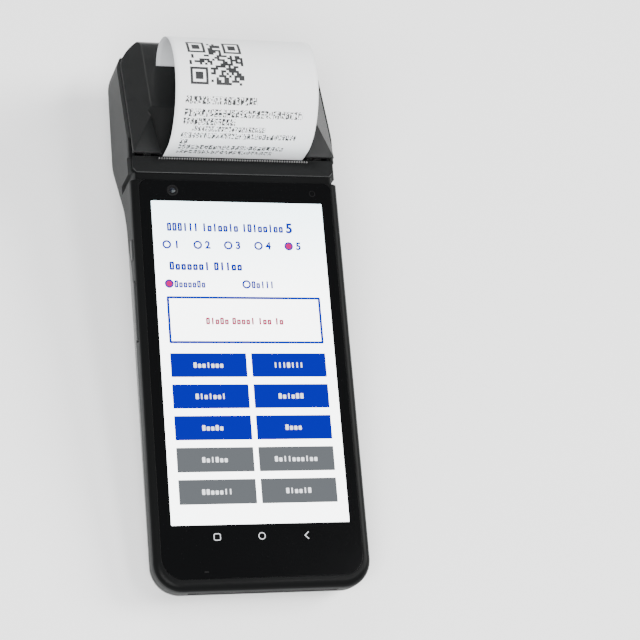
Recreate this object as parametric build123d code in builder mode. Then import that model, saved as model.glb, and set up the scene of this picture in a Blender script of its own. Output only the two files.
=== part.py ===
from build123d import *
import os
from math import asin, atan, atan2, copysign, cos, degrees, hypot, pi, radians, sin, tan

os.makedirs("parts", exist_ok=True)

# Handheld payment terminal with a receipt printer in its head.
# Case frame: X across, y from the bottom end to the head, z out of the glass, z = 0 on the glass.
# The terminal lies on its back, on its heel and on the low edge of the head's pad.

# Case outline
body_width = 83.0
body_length = 224.0
heel_depth = 17.0
waist_depth = 21.2
head_depth = 43.0
waist_setback = 78.0
waist_y = body_length - waist_setback
brow_setback = 48.5
brow_y = body_length - brow_setback
waist_radius = 26.0
brow_radius = 15.0
bottom_corner_radius = 11.0
head_corner_radius = 12.5
back_edge_radius = 10.5
front_edge_radius = 3.2
wall = 2.2
part_gap = 0.1
fit_gap = 0.15
move_gap = 0.3

# Joint between the front housing and the rear housing
band_depth = 7.0
head_band_margin = 7.0
head_band_depth = head_depth - head_band_margin
band_end_setback = 94.0
band_end_y = body_length - band_end_setback
head_band_setback = 57.0
head_band_y = body_length - head_band_setback
band_low_radius = 25.0
band_high_radius = 12.0

# Glass and display
glass_margin = 6.6
glass_width = body_width - glass_margin
glass_start_y = 4.6
glass_end_setback = 63.9
glass_end_y = body_length - glass_end_setback
glass_thickness = 1.1
glass_low_corner = 8.0
glass_top_corner = 3.0
display_margin = 5.8
display_width = glass_width - display_margin
display_start_y = 13.0
display_end_setback = 6.9
display_end_y = glass_end_y - display_end_setback
display_thickness = 1.7
display_corner_radius = 2.0
front_camera_inset = 12.9
front_camera_x = front_camera_inset - glass_width / 2
front_camera_setback = 4.2
front_camera_y = glass_end_y - front_camera_setback
front_camera_radius = 2.2
front_camera_length = 3.4

# Groove above the glass and tear bar behind it
groove_width = 3.5
groove_depth = 1.5
groove_low_z = 17.0
tear_bar_length = 6.4
tear_bar_drop = 4.0
tear_bar_front_z = -1.2
tear_bar_rear_z = -0.3
tear_bar_margin = 2.8
tear_bar_width = body_width - tear_bar_margin
tear_bar_end_chamfer = 1.6
blade_margin = 22.8
blade_width = body_width - blade_margin
blade_thickness = 0.5
blade_setback = 0.6
tooth_height = 0.8
blade_height = 3.0
tooth_count = 60

# Lid
lid_margin = 2.6
lid_width = body_width - lid_margin
lid_front_setback = 53.7
lid_front_y = body_length - lid_front_setback
lid_front_z = 2.4
lid_slope = 18.5
lid_rise = 7.35
lid_ridge = 13.8
cheek_width = 7.7
seam_drop = 1.5
lid_wall = 1.8
lid_end_radius = 7.0
lid_end_inset = 0.4
lid_corner_radius = 11.5
pocket_low_margin = 25.0
pocket_low_width = body_width - pocket_low_margin
pocket_high_margin = 18.0
pocket_high_width = body_width - pocket_high_margin
pocket_lip_advance = 1.2
pocket_lip_y = lid_front_y + pocket_lip_advance
pocket_lip_z = -2.9
pocket_turn_advance = 4.7
pocket_turn_y = lid_front_y + pocket_turn_advance
pocket_turn_z = -1.2
pocket_top_advance = 18.7
pocket_top_y = lid_front_y + pocket_top_advance
pocket_radius = 9.0

# Lid hinge
hinge_pin_radius = 1.25
barrel_radius = 3.0
barrel_margin = 11.0
barrel_width = body_width - barrel_margin
lug_width = 5.0
lug_x = 24.0
hinge_pin_margin = 17.0
hinge_pin_length = body_width - hinge_pin_margin
running_clearance = 0.05

# Roller and gear train
paper_margin = 27.0
paper_width = body_width - paper_margin
paper_thickness = 0.12
nip_y = lid_front_y
platen_radius = 4.5
platen_z = -9.0
rubber_overhang = 2.0
rubber_width = paper_width + rubber_overhang
shaft_radius = 2.0
nip_gap = 0.1
gear_module = 0.5
platen_teeth = 18
idler_teeth = 28
motor_teeth = 10
gear_width = 3.0
tooth_share = 0.8
root_share = 1.2
gear_inset = 7.3
gear_x = body_width / 2 - gear_inset
motor_setback = 2.3
motor_y = nip_y - motor_setback
motor_z = -24.5
motor_radius = 6.5
motor_length = 21.0
motor_shaft_radius = 0.75
axle_radius = 1.0

# Printer chassis and head
chassis_inset = 9.5
chassis_x = body_width / 2 - chassis_inset
chassis_wall = 1.2
bush_radius = 2.75
bush_length = 1.4
chassis_end_advance = 10.7
chassis_end_y = nip_y + chassis_end_advance
chassis_top_z = -6.0
chassis_low_z = -28.0
chassis_corner_radius = 2.0
chassis_floor_z = -17.4
chassis_floor_length = 4.6
notch_lean = 1.3
arm_inset = 11.7
arm_x = body_width / 2 - arm_inset
arm_wall = 1.3
sleeve_wall = 1.6
head_height = 11.0
head_thickness = 1.0
heat_sink_thickness = 2.2
fin_count = 13
fin_margin = 31.0
fin_pitch = (body_width - fin_margin) / fin_count
fin_gap = 1.6
spring_radius = 1.6
spring_wire = 0.35
spring_turns = 4
spring_x = 20.0

# Paper
cradle_gap = 0.6
cradle_wall = 1.2
largest_roll_radius = 18.0
roll_radius_allowance = 3.5
roll_radius = min(largest_roll_radius, head_depth / 2 - roll_radius_allowance)
core_radius = 6.2
core_bore_radius = 5.2
roll_advance = 29.2
roll_y = nip_y + roll_advance
roll_z = wall + cradle_wall + cradle_gap + roll_radius - head_depth
cradle_half_overhang = 2.2
cradle_half_width = paper_width / 2 + cradle_half_overhang
cradle_start_angle = 232.0
cradle_end_angle = 345.0
web_turn_radius = 4.0
web_turn_z = -13.5
web_gap = 0.3
strip_low_z = -8.7
curl_radius = 22.5
curl_base_z = 6.5
tail_radius = 10.0
tail_angle = 66.0

# Keys on the left side
key_z = -4.2
key_height = 2.7
key_proud = 0.5
key_flange = 0.7
power_key_setback = 27.6
power_key_y = glass_end_y - power_key_setback
power_key_length = 7.8
power_key_travel = 0.4
rocker_setback = 52.1
rocker_y = glass_end_y - rocker_setback
rocker_length = 23.0
rocker_end_gap = 0.6
rocker_nub_y = 8.0
rocker_nub_length = 2.0
rocker_nub_reach = 1.3
rocker_flange = key_flange - fit_gap
key_edge_radius = 0.4
switch_depth = 1.6
switch_length = 6.0
switch_height = 3.4

# Card slot
slot_margin = 25.8
slot_width = body_width - slot_margin
slot_height = 1.6
slot_z = -5.0
reader_overhang = 1.8
reader_width = slot_width + reader_overhang
reader_length = 38.0
reader_height = 3.4

# Battery and its cover
cover_thickness = 1.2
cover_margin = 5.6
cover_width = body_width - cover_margin
cover_start_y = 4.6
cover_end_setback = 8.0
cover_end_y = waist_y - cover_end_setback
cover_top_radius = 12.0
cover_low_radius = 8.5
notch_inset = 19.5
notch_x = body_width / 2 - notch_inset
notch_radius = 7.0
notch_reach = 2.2
battery_margin = 25.0
battery_width = body_width - battery_margin
battery_length_allowance = 136.0
battery_length = body_length - battery_length_allowance
battery_height = 5.6
battery_start_y = 26.0
battery_edge_radius = 1.0
blades_width = 24.0
blades_length = 4.0
blades_height = 4.6
blade_slot = 1.0
tub_wall = 1.6
tub_ceiling = 1.0
peg_inset = 17.5
peg_x = body_width / 2 - peg_inset
peg_setback = 4.4
peg_y = cover_end_y - peg_setback
peg_width = 6.0
peg_length = 1.2
peg_height = 1.8
peg_swing = 1.2

# Charge contacts
contact_count = 8
contact_pitch = 2.75
contact_radius = 0.85
contact_setback = 0.5
contact_y = waist_y - contact_setback
recess_low_width = 34.0
recess_high_width = 24.0
recess_start_setback = 6.5
recess_start_y = waist_y - recess_start_setback
recess_end_advance = 5.5
recess_end_y = waist_y + recess_end_advance
recess_floor_z = -20.8
recess_radius = 2.6
recess_wall = 1.2
contact_length = 4.2
contact_proud = 0.4
carrier_width = 26.0
carrier_length = 5.0
carrier_height = 2.4

# Speaker and the slots over it
slot_count = 5
slot_pitch = 2.2
speaker_slot_length = 11.0
short_slot_length = 6.0
speaker_slot_width = 1.0
speaker_advance = 5.5
speaker_y = waist_y + speaker_advance
short_slot_inset = 15.0
short_slot_x = body_width / 2 - short_slot_inset
short_slot_advance = 7.5
short_slot_y = waist_y + short_slot_advance
short_slot_count = 2
speaker_z = -12.5
speaker_height = 4.0
speaker_margin = 26.5
speaker_width = body_width / 2 - speaker_margin
speaker_inset = 11.5
speaker_x = speaker_width / 2 + speaker_inset - body_width / 2
speaker_corner_radius = 1.5

# Screw wells, bosses and the beam under the tear bar
well_radius = 3.0
well_wall = 1.1
waist_screw_inset = 8.0
waist_screw_x = body_width / 2 - waist_screw_inset
waist_screw_setback = 67.5
waist_screw_y = body_length - waist_screw_setback
head_screw_inset = 6.9
head_screw_x = body_width / 2 - head_screw_inset
head_screw_setback = 10.5
head_screw_y = body_length - head_screw_setback
well_floor_z = -22.0
screw_radius = 1.2
screw_head_radius = 2.2
screw_head_height = 1.4
screw_length = 7.0
well_floor = 1.4
boss_radius = 2.9
boss_height = 6.0
beam_length = 3.2

# Pad, camera window and rear camera
pad_margin = 36.0
pad_width = body_width - pad_margin
pad_start_setback = 58.5
pad_start_y = body_length - pad_start_setback
pad_end_setback = 24.0
pad_end_y = body_length - pad_end_setback
pad_radius = 5.0
pad_rim = 1.0
pad_depth_extra = 0.4
pad_depth = head_depth + pad_depth_extra
pad_draft = 14.0
pad_edge_radius = 0.8
pad_recess = 1.0
panel_thickness = 0.9
window_length = 12.0
camera_inset = 15.9
camera_x = camera_inset - pad_width / 2
camera_advance = 5.1
camera_y = pad_start_y + camera_advance
camera_radius = 3.4
camera_length_allowance = 12.5
camera_length = head_depth / 2 - camera_length_allowance
camera_base = 9.0
camera_base_height = 2.5
flash_inset = 7.0
flash_x = flash_inset - pad_width / 2
flash_radius = 1.9

# Electronics
board_margin = 9.0
board_width = body_width - board_margin
board_start_y = 46.0
board_end_setback = 72.5
board_end_y = body_length - board_end_setback
board_thickness = 1.0
board_z = -6.6
board_corner_radius = 1.5
board_screw_inset = 1.6
board_screw_x = board_width / 2 - board_screw_inset
board_screw_start_y = 54.0
board_screw_end_setback = 8.0
board_screw_end_y = board_end_y - board_screw_end_setback
board_screw_radius = 0.8
board_screw_head_radius = 1.5
ledge_width = 5.0
ledge_length = 8.0
ledge_height = 2.4
shield_width = 40.0
shield_length = 30.0
shield_height = 2.4
shield_wall = 0.4
shield_setback = 106.0
shield_y = body_length - shield_setback


# Attitude: the case lies on its heel arc and on the pad's low edge
back_slope = atan((waist_depth - heel_depth) / waist_y)
heel_centre_y = back_edge_radius
heel_centre_z = -heel_depth - back_edge_radius * tan(back_slope) + back_edge_radius / cos(back_slope)
pad_centre_y = pad_start_y - pad_rim + pad_edge_radius / tan(radians(90 + pad_draft) / 2)
pad_centre_z = -pad_depth + pad_edge_radius
rest_run = pad_centre_y - heel_centre_y
rest_fall = heel_centre_z - pad_centre_z
rest_reach = hypot(rest_run, rest_fall)
rest_tilt = atan2(rest_fall, rest_run) - asin((back_edge_radius - pad_edge_radius) / rest_reach)
lift = back_edge_radius - heel_centre_y * sin(rest_tilt) - heel_centre_z * cos(rest_tilt)
nose_y = front_edge_radius * (cos(rest_tilt) + sin(rest_tilt) - 1)
end_centre_y = body_length - back_edge_radius
end_centre_z = -head_depth + back_edge_radius
tail_y = end_centre_y * cos(rest_tilt) - end_centre_z * sin(rest_tilt) + back_edge_radius
SEAT = Plane(
    origin=(0, -(nose_y + tail_y) / 2, lift),
    x_dir=(1, 0, 0),
    z_dir=(0, -sin(rest_tilt), cos(rest_tilt)),
)
UP = Axis(SEAT.origin, SEAT.z_dir)
ALONG = Axis(SEAT.origin, SEAT.y_dir)
MIDDLE = Plane(origin=SEAT.origin, x_dir=SEAT.y_dir, z_dir=(1, 0, 0))
LID = Plane(
    origin=SEAT.from_local_coords((0, lid_front_y, lid_front_z)),
    x_dir=(1, 0, 0),
    z_dir=SEAT.z_dir,
).rotated((-lid_slope, 0, 0))

# Values that follow from the sizes above
half_width = body_width / 2
display_length = display_end_y - display_start_y
pad_length = pad_end_y - pad_start_y
under_glass_z = -glass_thickness - part_gap / 2
groove_end_y = glass_end_y + groove_width
bar_end_y = groove_end_y + tear_bar_length
slope_cos = cos(radians(lid_slope))
slope_sin = sin(radians(lid_slope))
lid_end_y = body_length - lid_end_inset
hinge_y = lid_end_y - barrel_radius
hinge_z = lid_front_z - ((hinge_y - lid_front_y) * slope_sin + seam_drop) / slope_cos
platen_y = nip_y + paper_thickness / 2 + nip_gap + platen_radius
head_face_y = nip_y - paper_thickness / 2 - nip_gap
hinge_run = (hinge_y - lid_front_y) * slope_cos - (hinge_z - lid_front_z) * slope_sin
beam_end_y = groove_end_y + wall / 2
boss_low_z = well_floor_z + part_gap
head_boss_top_z = boss_low_z + boss_height
waist_boss_top_z = -band_depth - wall
throat_width = 2 * (waist_screw_x + well_radius + well_wall + part_gap)
screw_places = [
    (hand * x, y, top)
    for x, y, top in (
        (waist_screw_x, waist_screw_y, waist_boss_top_z),
        (head_screw_x, head_screw_y, head_boss_top_z),
    )
    for hand in (1, -1)
]
battery_end_y = battery_start_y + battery_length
battery_back_z = -heel_depth - battery_start_y * tan(back_slope) + cover_thickness + 2 * part_gap
tub_start_y = battery_start_y - tub_wall - part_gap
tub_end_y = battery_end_y + blades_length + tub_wall + 2 * part_gap
tub_width = battery_width + 2 * (tub_wall + part_gap)
tub_top_z = battery_back_z + battery_height + part_gap + tub_ceiling
board_screw_mid_y = (board_screw_start_y + board_screw_end_y) / 2
board_screw_run = board_screw_end_y - board_screw_start_y
blade_top_z = tear_bar_rear_z - fit_gap
blade_end_y = bar_end_y - blade_setback
head_top_z = -tear_bar_drop - part_gap
head_mid_z = head_top_z - head_height / 2
sink_start_y = head_face_y - head_thickness - heat_sink_thickness
switch_x = -half_width + wall + 2 * move_gap + key_flange + power_key_travel + switch_depth / 2
recess_z = -pad_depth + pad_recess
far = 4 * body_width


def level(z):
    """Plane parallel to the glass, drawn in x and y."""
    return SEAT.offset(z)


def side(x):
    """Plane across the width at x, drawn in y and z."""
    return MIDDLE.offset(x)


def station(y):
    """Plane square to the length at y, drawn in x and z, facing the bottom end."""
    return Plane(origin=SEAT.from_local_coords((0, y, 0)), x_dir=(1, 0, 0), z_dir=-SEAT.y_dir)


def at(x, y, z):
    """Place in the case frame."""
    return SEAT.location * Location((x, y, z))


def lid_line_z(y, rise):
    """Height over y of the line that runs at rise above the lid's edge line."""
    return lid_front_z + (rise - (y - lid_front_y) * slope_sin) / slope_cos


def terminal_form(inset):
    """Closed outer form of the case, drawn in by inset on every side."""
    profile = [
        (0, 0),
        (body_length, 0),
        (body_length, -head_depth),
        (brow_y, -head_depth),
        (waist_y, -waist_depth),
        (0, -heel_depth),
    ]
    with BuildPart() as form:
        with BuildSketch(MIDDLE) as outline:
            Polygon(*profile, align=None)
            fillet(outline.vertices().sort_by_distance((waist_y, -waist_depth))[0], waist_radius)
            fillet(outline.vertices().sort_by_distance((brow_y, -head_depth))[0], brow_radius)
            if inset > 0:
                offset(amount=-inset, kind=Kind.INTERSECTION)
        extrude(amount=half_width - inset, both=True)
        with BuildSketch(SEAT) as plan:
            with Locations((0, body_length / 2)):
                Rectangle(body_width - 2 * inset, body_length - 2 * inset)
            fillet(plan.vertices().group_by(Axis.Y)[0], bottom_corner_radius - inset)
            fillet(plan.vertices().group_by(Axis.Y)[-1], head_corner_radius - inset)
        extrude(amount=-2 * head_depth, mode=Mode.INTERSECT)
        fillet(form.edges().filter_by(Axis.X).group_by(ALONG)[0].sort_by(UP)[0], back_edge_radius - inset)
        fillet(form.edges().filter_by(Axis.X).group_by(ALONG)[0].sort_by(UP)[-1], front_edge_radius - inset)
    return form.part


def band_region():
    """Everything on the glass side of the joint between the two housings."""
    points = [
        (-wall, far),
        (-wall, -band_depth),
        (band_end_y, -band_depth),
        (head_band_y, -head_band_depth),
        (body_length + wall, -head_band_depth),
        (body_length + wall, far),
    ]
    with BuildPart() as region:
        with BuildSketch(MIDDLE) as outline:
            Polygon(*points, align=None)
            fillet(outline.vertices().sort_by_distance(points[2])[0], band_low_radius)
            fillet(outline.vertices().sort_by_distance(points[3])[0], band_high_radius)
        extrude(amount=body_width, both=True)
        # The underside between the waist and the head belongs to the rear housing
        with Locations(at(0, (band_end_y + brow_y) / 2, -groove_low_z - part_gap - head_depth / 2)):
            Box(throat_width, brow_y - band_end_y, head_depth, mode=Mode.SUBTRACT)
    return region.part


def cover_prism(grow):
    """Prism of the battery cover's outline, from the parting joint down past the back."""
    with BuildPart() as prism:
        with BuildSketch(level(-band_depth)) as outline:
            with Locations((0, (cover_start_y + cover_end_y) / 2)):
                Rectangle(cover_width + 2 * grow, cover_end_y - cover_start_y + 2 * grow)
            fillet(outline.vertices().group_by(Axis.Y)[0], cover_low_radius + grow)
            fillet(outline.vertices().group_by(Axis.Y)[-1], cover_top_radius + grow)
        extrude(amount=-head_depth)
    return prism.part


def above_seam():
    """Everything above the seam that the lid closes on."""
    with BuildPart() as region:
        with BuildSketch(LID.offset(-seam_drop)):
            Rectangle(far, far)
        extrude(amount=far)
    return region.part


def lid_plan(inset):
    """Upright prism of the lid's plan outline, drawn in by inset."""
    with BuildPart() as prism:
        with BuildSketch(SEAT) as plan:
            with Locations((0, lid_end_y / 2)):
                Rectangle(lid_width - 2 * inset, lid_end_y - 2 * inset)
            fillet(plan.vertices().group_by(Axis.Y)[-1], lid_corner_radius - inset)
        extrude(amount=2 * head_depth, both=True)
    return prism.part


def lid_form(inset, drop):
    """Faceted form of the lid, drawn in by inset, with its underside at drop below the edge line."""
    ridge_y = lid_front_y + lid_ridge * slope_cos + lid_rise * slope_sin
    points = [
        (lid_front_y, lid_line_z(lid_front_y, -drop)),
        (lid_front_y, lid_front_z),
        (ridge_y, lid_line_z(ridge_y, lid_rise)),
        (lid_end_y, lid_line_z(lid_end_y, lid_rise)),
        (lid_end_y, lid_line_z(lid_end_y, -drop)),
    ]
    edge_x = lid_width / 2 - inset * hypot(cheek_width, lid_rise) / lid_rise
    with BuildPart() as form:
        with BuildSketch(MIDDLE) as outline:
            Polygon(*points, align=None)
            fillet(outline.vertices().sort_by_distance(points[3])[0], lid_end_radius)
            if inset > 0:
                offset(amount=-inset, kind=Kind.INTERSECTION)
        extrude(amount=lid_width / 2 - inset, both=True)
        add(lid_plan(inset), mode=Mode.INTERSECT)
        for hand in (1, -1):
            with BuildSketch(Plane(origin=LID.origin, x_dir=(1, 0, 0), z_dir=-LID.y_dir)):
                Polygon(
                    (hand * (edge_x + cheek_width), -lid_rise),
                    (hand * (edge_x - 2 * cheek_width), 2 * lid_rise),
                    (hand * body_width, 2 * lid_rise),
                    (hand * body_width, -lid_rise),
                    align=None,
                )
            extrude(amount=far, both=True, mode=Mode.SUBTRACT)
    return form.part


def paper_pocket(grow):
    """Hollow in the lid's front that the paper comes up through, grown by grow."""
    points = [
        (groove_end_y, pocket_lip_z),
        (pocket_lip_y, pocket_lip_z),
        (pocket_turn_y, pocket_turn_z),
        (pocket_top_y, lid_line_z(pocket_top_y, lid_rise)),
        (pocket_top_y, head_depth),
        (groove_end_y, head_depth),
    ]
    ridge_y = lid_front_y + lid_ridge * slope_cos
    low_half = pocket_low_width / 2 + grow
    splay = (pocket_high_width - pocket_low_width) / 2 / (ridge_y - lid_front_y)
    end_half = low_half + splay * (pocket_top_y + grow - lid_front_y)
    with BuildPart() as pocket:
        with BuildSketch(MIDDLE) as outline:
            Polygon(*points, align=None)
            fillet(outline.vertices().sort_by_distance(points[2])[0], pocket_radius)
            if grow > 0:
                offset(amount=grow, kind=Kind.INTERSECTION)
        extrude(amount=body_width, both=True)
        with BuildSketch(SEAT):
            Polygon(
                (-low_half, 0),
                (low_half, 0),
                (low_half, lid_front_y),
                (end_half, pocket_top_y + grow),
                (-end_half, pocket_top_y + grow),
                (-low_half, lid_front_y),
                align=None,
            )
        extrude(amount=far, both=True, mode=Mode.INTERSECT)
    return pocket.part


def spur_gear(teeth, bore_radius, centre, phase):
    """Spur gear on an axle across the width, with its first tooth at the angle phase."""
    base_half = 0.30 * pi * gear_module
    pitch_half = 0.21 * pi * gear_module
    tip_half = 0.10 * pi * gear_module
    tooth_reach = tooth_share * gear_module
    tooth_root = -root_share * gear_module
    pitch_radius = gear_module * teeth / 2
    with BuildPart() as gear:
        with BuildSketch(side(gear_x)):
            with Locations(centre):
                Circle(pitch_radius + tooth_root)
                with PolarLocations(pitch_radius, teeth, start_angle=phase):
                    Polygon(
                        (tooth_root - tooth_reach, -base_half),
                        (0, -pitch_half),
                        (tooth_reach, -tip_half),
                        (tooth_reach, tip_half),
                        (0, pitch_half),
                        (tooth_root - tooth_reach, base_half),
                        align=None,
                    )
                Circle(bore_radius, mode=Mode.SUBTRACT)
        extrude(amount=gear_width)
    return gear.part


def mesh_phase(phase, teeth, other_teeth, bearing):
    """Phase of a gear in mesh with one of the given phase that sees it at the angle bearing."""
    fraction = (bearing - phase) * teeth / 360 % 1
    return bearing + 180 + (fraction - 0.5) * 360 / other_teeth


def disc_along(x_start, x_end, radius, centre, bore=0):
    """Round bar or ring across the width between two stations, centred on a y and z."""
    with BuildPart() as bar:
        with BuildSketch(side(x_start)):
            with Locations(centre):
                Circle(radius)
                if bore > 0:
                    Circle(bore, mode=Mode.SUBTRACT)
        extrude(amount=x_end - x_start)
    return bar.part


def glass_plate(grow, thickness):
    """Plate of the cover glass, grown by grow in plan, down from the front face."""
    with BuildPart() as plate:
        with BuildSketch(SEAT) as plan:
            with Locations((0, (glass_start_y + glass_end_y) / 2)):
                Rectangle(glass_width + 2 * grow, glass_end_y - glass_start_y + 2 * grow)
            fillet(plan.vertices().group_by(Axis.Y)[0], glass_low_corner + grow)
            fillet(plan.vertices().group_by(Axis.Y)[-1], glass_top_corner + grow)
        extrude(amount=-thickness)
    return plate.part


def contact_recess(grow):
    """Prism of the contact recess, grown by grow, open towards the battery cover."""
    with BuildPart() as recess:
        with BuildSketch(level(recess_floor_z + grow)) as outline:
            Polygon(
                (-recess_low_width / 2 - grow, recess_start_y),
                (recess_low_width / 2 + grow, recess_start_y),
                (recess_high_width / 2 + grow, recess_end_y + grow),
                (-recess_high_width / 2 - grow, recess_end_y + grow),
                align=None,
            )
            fillet(outline.vertices().group_by(Axis.Y)[-1], recess_radius)
        extrude(amount=-head_depth)
    return recess.part


def key_body(length, centre_y):
    """Key in the left wall, with its neck and the flange that holds it behind the wall."""
    with BuildPart() as key:
        with Locations(at(-half_width + (wall - key_proud) / 2, centre_y, key_z)):
            Box(wall + key_proud, length, key_height)
        fillet(key.faces().sort_by(Axis.X)[0].edges(), key_edge_radius)
    return key.part


def paper_along(path):
    """Sheet of paper that follows a path."""
    with BuildPart() as sheet:
        with BuildSketch(Plane(origin=path @ 0, x_dir=(1, 0, 0), z_dir=path % 0)):
            Rectangle(paper_width, paper_thickness)
        sweep(path=path)
    return sheet.part


def ring_sector(x_start, x_end, inner, outer):
    """Part of a ring round the paper roll, between the two angles of the cradle."""
    span = cradle_end_angle - cradle_start_angle
    with BuildPart() as sector:
        with BuildSketch(side(x_start)):
            with BuildLine():
                low = CenterArc((roll_y, roll_z), outer, cradle_start_angle, span)
                high = CenterArc((roll_y, roll_z), inner, cradle_start_angle, span)
                Line(low @ 0, high @ 0)
                Line(low @ 1, high @ 1)
            make_face()
        extrude(amount=x_end - x_start)
    return sector.part


outer_form = terminal_form(0)
inner_form = terminal_form(wall)

# Ring cut between the glass and the tear bar, carried down both sides
with BuildPart() as groove_ring:
    with Locations(at(0, glass_end_y + groove_width / 2, -groove_low_z / 2)):
        Box(body_width + wall, groove_width, groove_low_z)
    add(terminal_form(groove_depth), mode=Mode.SUBTRACT)

# Hinge lugs, which stand on the end wall of the head
with BuildPart() as hinge_lugs:
    for hand in (1, -1):
        with BuildSketch(side(hand * lug_x - lug_width / 2)):
            with Locations((hinge_y, hinge_z)):
                Circle(barrel_radius - part_gap)
            with Locations((hinge_y + (barrel_radius - part_gap) / 2, hinge_z - 2 * barrel_radius)):
                Rectangle(barrel_radius - part_gap, 4 * barrel_radius)
        extrude(amount=lug_width)

# Front housing: dark frame round the glass, side band and the side walls of the head
with BuildPart() as front_housing:
    add(outer_form)
    add(inner_form, mode=Mode.SUBTRACT)
    add(band_region(), mode=Mode.INTERSECT)
    # Beam under the groove and the tear bar, and ribs that back the groove at the sides
    with Locations(at(0, beam_end_y - beam_length / 2, -(groove_low_z + wall) / 2)):
        Box(body_width - 2 * wall, beam_length, groove_low_z - wall)
    # Screw bosses, each with a rib to the side wall
    for x, y, top in screw_places:
        with Locations(at(x, y, (top + boss_low_z) / 2)):
            Cylinder(boss_radius, top - boss_low_z)
        rib_length = half_width - wall / 2 - abs(x)
        with Locations(at(copysign(abs(x) + rib_length / 2, x), y, (top + boss_low_z + wall) / 2)):
            Box(rib_length, wall, top - boss_low_z - wall)
    # Ledges that the circuit board is screwed to
    with Locations(at(0, board_screw_mid_y, board_z + part_gap + ledge_height / 2)):
        with GridLocations(body_width - wall - ledge_width, board_screw_run, 2, 2):
            Box(ledge_width, ledge_length, ledge_height)
    # Seat of the tear bar and open bay of the printer
    with Locations(at(0, (groove_end_y + bar_end_y) / 2, 0)):
        Box(body_width + wall, tear_bar_length, 2 * tear_bar_drop, mode=Mode.SUBTRACT)
    with Locations(at(0, (beam_end_y + body_length - wall) / 2, 0)):
        Box(body_width - 2 * wall, body_length - wall - beam_end_y, 2 * (wall + part_gap), mode=Mode.SUBTRACT)
    add(above_seam(), mode=Mode.SUBTRACT)
    # End wall lowered under the hinge barrel, with its lugs
    with BuildSketch(LID.offset(-seam_drop - barrel_radius - move_gap)):
        with Locations((0, hinge_run + far / 2)):
            Rectangle(body_width + wall, far)
    extrude(amount=far, mode=Mode.SUBTRACT)
    with Locations(at(0, hinge_y, hinge_z)):
        Cylinder(barrel_radius + move_gap, body_width - 2 * wall, rotation=(0, 90, 0), mode=Mode.SUBTRACT)
    add(hinge_lugs.part)
    with Locations(at(0, hinge_y, hinge_z)):
        Cylinder(hinge_pin_radius, barrel_width, rotation=(0, 90, 0), mode=Mode.SUBTRACT)
    add(groove_ring.part, mode=Mode.SUBTRACT)
    # Recess for the glass and window for the display behind it
    add(glass_plate(part_gap, glass_thickness + part_gap), mode=Mode.SUBTRACT)
    with Locations(at(0, (display_start_y + display_end_y) / 2, -wall)):
        Box(display_width + 2 * part_gap, display_length + 2 * part_gap, 2 * wall, mode=Mode.SUBTRACT)
    with Locations(at(front_camera_x, front_camera_y, -wall)):
        Cylinder(front_camera_radius + part_gap, 2 * wall, mode=Mode.SUBTRACT)
    # Card slot in the bottom end
    with Locations(at(0, 0, slot_z)):
        Box(slot_width, 4 * wall, slot_height, mode=Mode.SUBTRACT)
    # Openings for the two keys on the left side
    with Locations(at(-half_width, power_key_y, key_z)):
        Box(4 * wall, power_key_length + 2 * fit_gap, key_height + 2 * fit_gap, mode=Mode.SUBTRACT)
    with Locations(at(-half_width, rocker_y, key_z)):
        Box(4 * wall, rocker_length + 2 * rocker_end_gap, key_height + 2 * fit_gap, mode=Mode.SUBTRACT)
    # Screw holes in the bosses and in the ledges of the board
    for x, y, top in screw_places:
        with Locations(at(x, y, boss_low_z)):
            Cylinder(screw_radius, 2 * (screw_length - well_floor), mode=Mode.SUBTRACT)
    with Locations(at(0, board_screw_mid_y, board_z)):
        with GridLocations(2 * board_screw_x, board_screw_run, 2, 2):
            Cylinder(board_screw_radius, 2 * (ledge_height + part_gap), mode=Mode.SUBTRACT)
front_housing.part.label = "front_housing"
export_step(front_housing.part, "parts/front_housing.step")

# Raised pad of the head, with drafted sides
with BuildPart() as pad:
    with BuildSketch(level(-pad_depth)):
        with Locations((0, (pad_start_y + pad_end_y) / 2)):
            RectangleRounded(pad_width + 2 * pad_rim, pad_length + 2 * pad_rim, pad_radius + pad_rim)
    extrude(amount=pad_depth - waist_depth, taper=-pad_draft)
    fillet(pad.faces().sort_by(UP)[0].edges(), pad_edge_radius)
    add(inner_form, mode=Mode.SUBTRACT)

# Battery tub, screw well tubes and backing of the contact recess, inside the rear shell
with BuildPart() as rear_insides:
    with Locations(at(0, (tub_start_y + tub_end_y) / 2, tub_top_z - waist_depth / 2)):
        Box(tub_width, tub_end_y - tub_start_y, waist_depth)
    for x, y, top in screw_places:
        with Locations(at(x, y, well_floor_z - head_depth / 2)):
            Cylinder(well_radius + well_wall, head_depth)
    add(contact_recess(recess_wall))
    add(outer_form, mode=Mode.INTERSECT)
    add(front_housing.part, mode=Mode.SUBTRACT)

# Pocket for the battery cover, with the nail notch at its lower edge
with BuildPart() as cover_pocket:
    add(cover_prism(fit_gap))
    with Locations(at(notch_x, cover_start_y + notch_radius - notch_reach, -heel_depth)):
        Cylinder(notch_radius, heel_depth)
    add(terminal_form(cover_thickness + fit_gap), mode=Mode.SUBTRACT)

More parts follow.
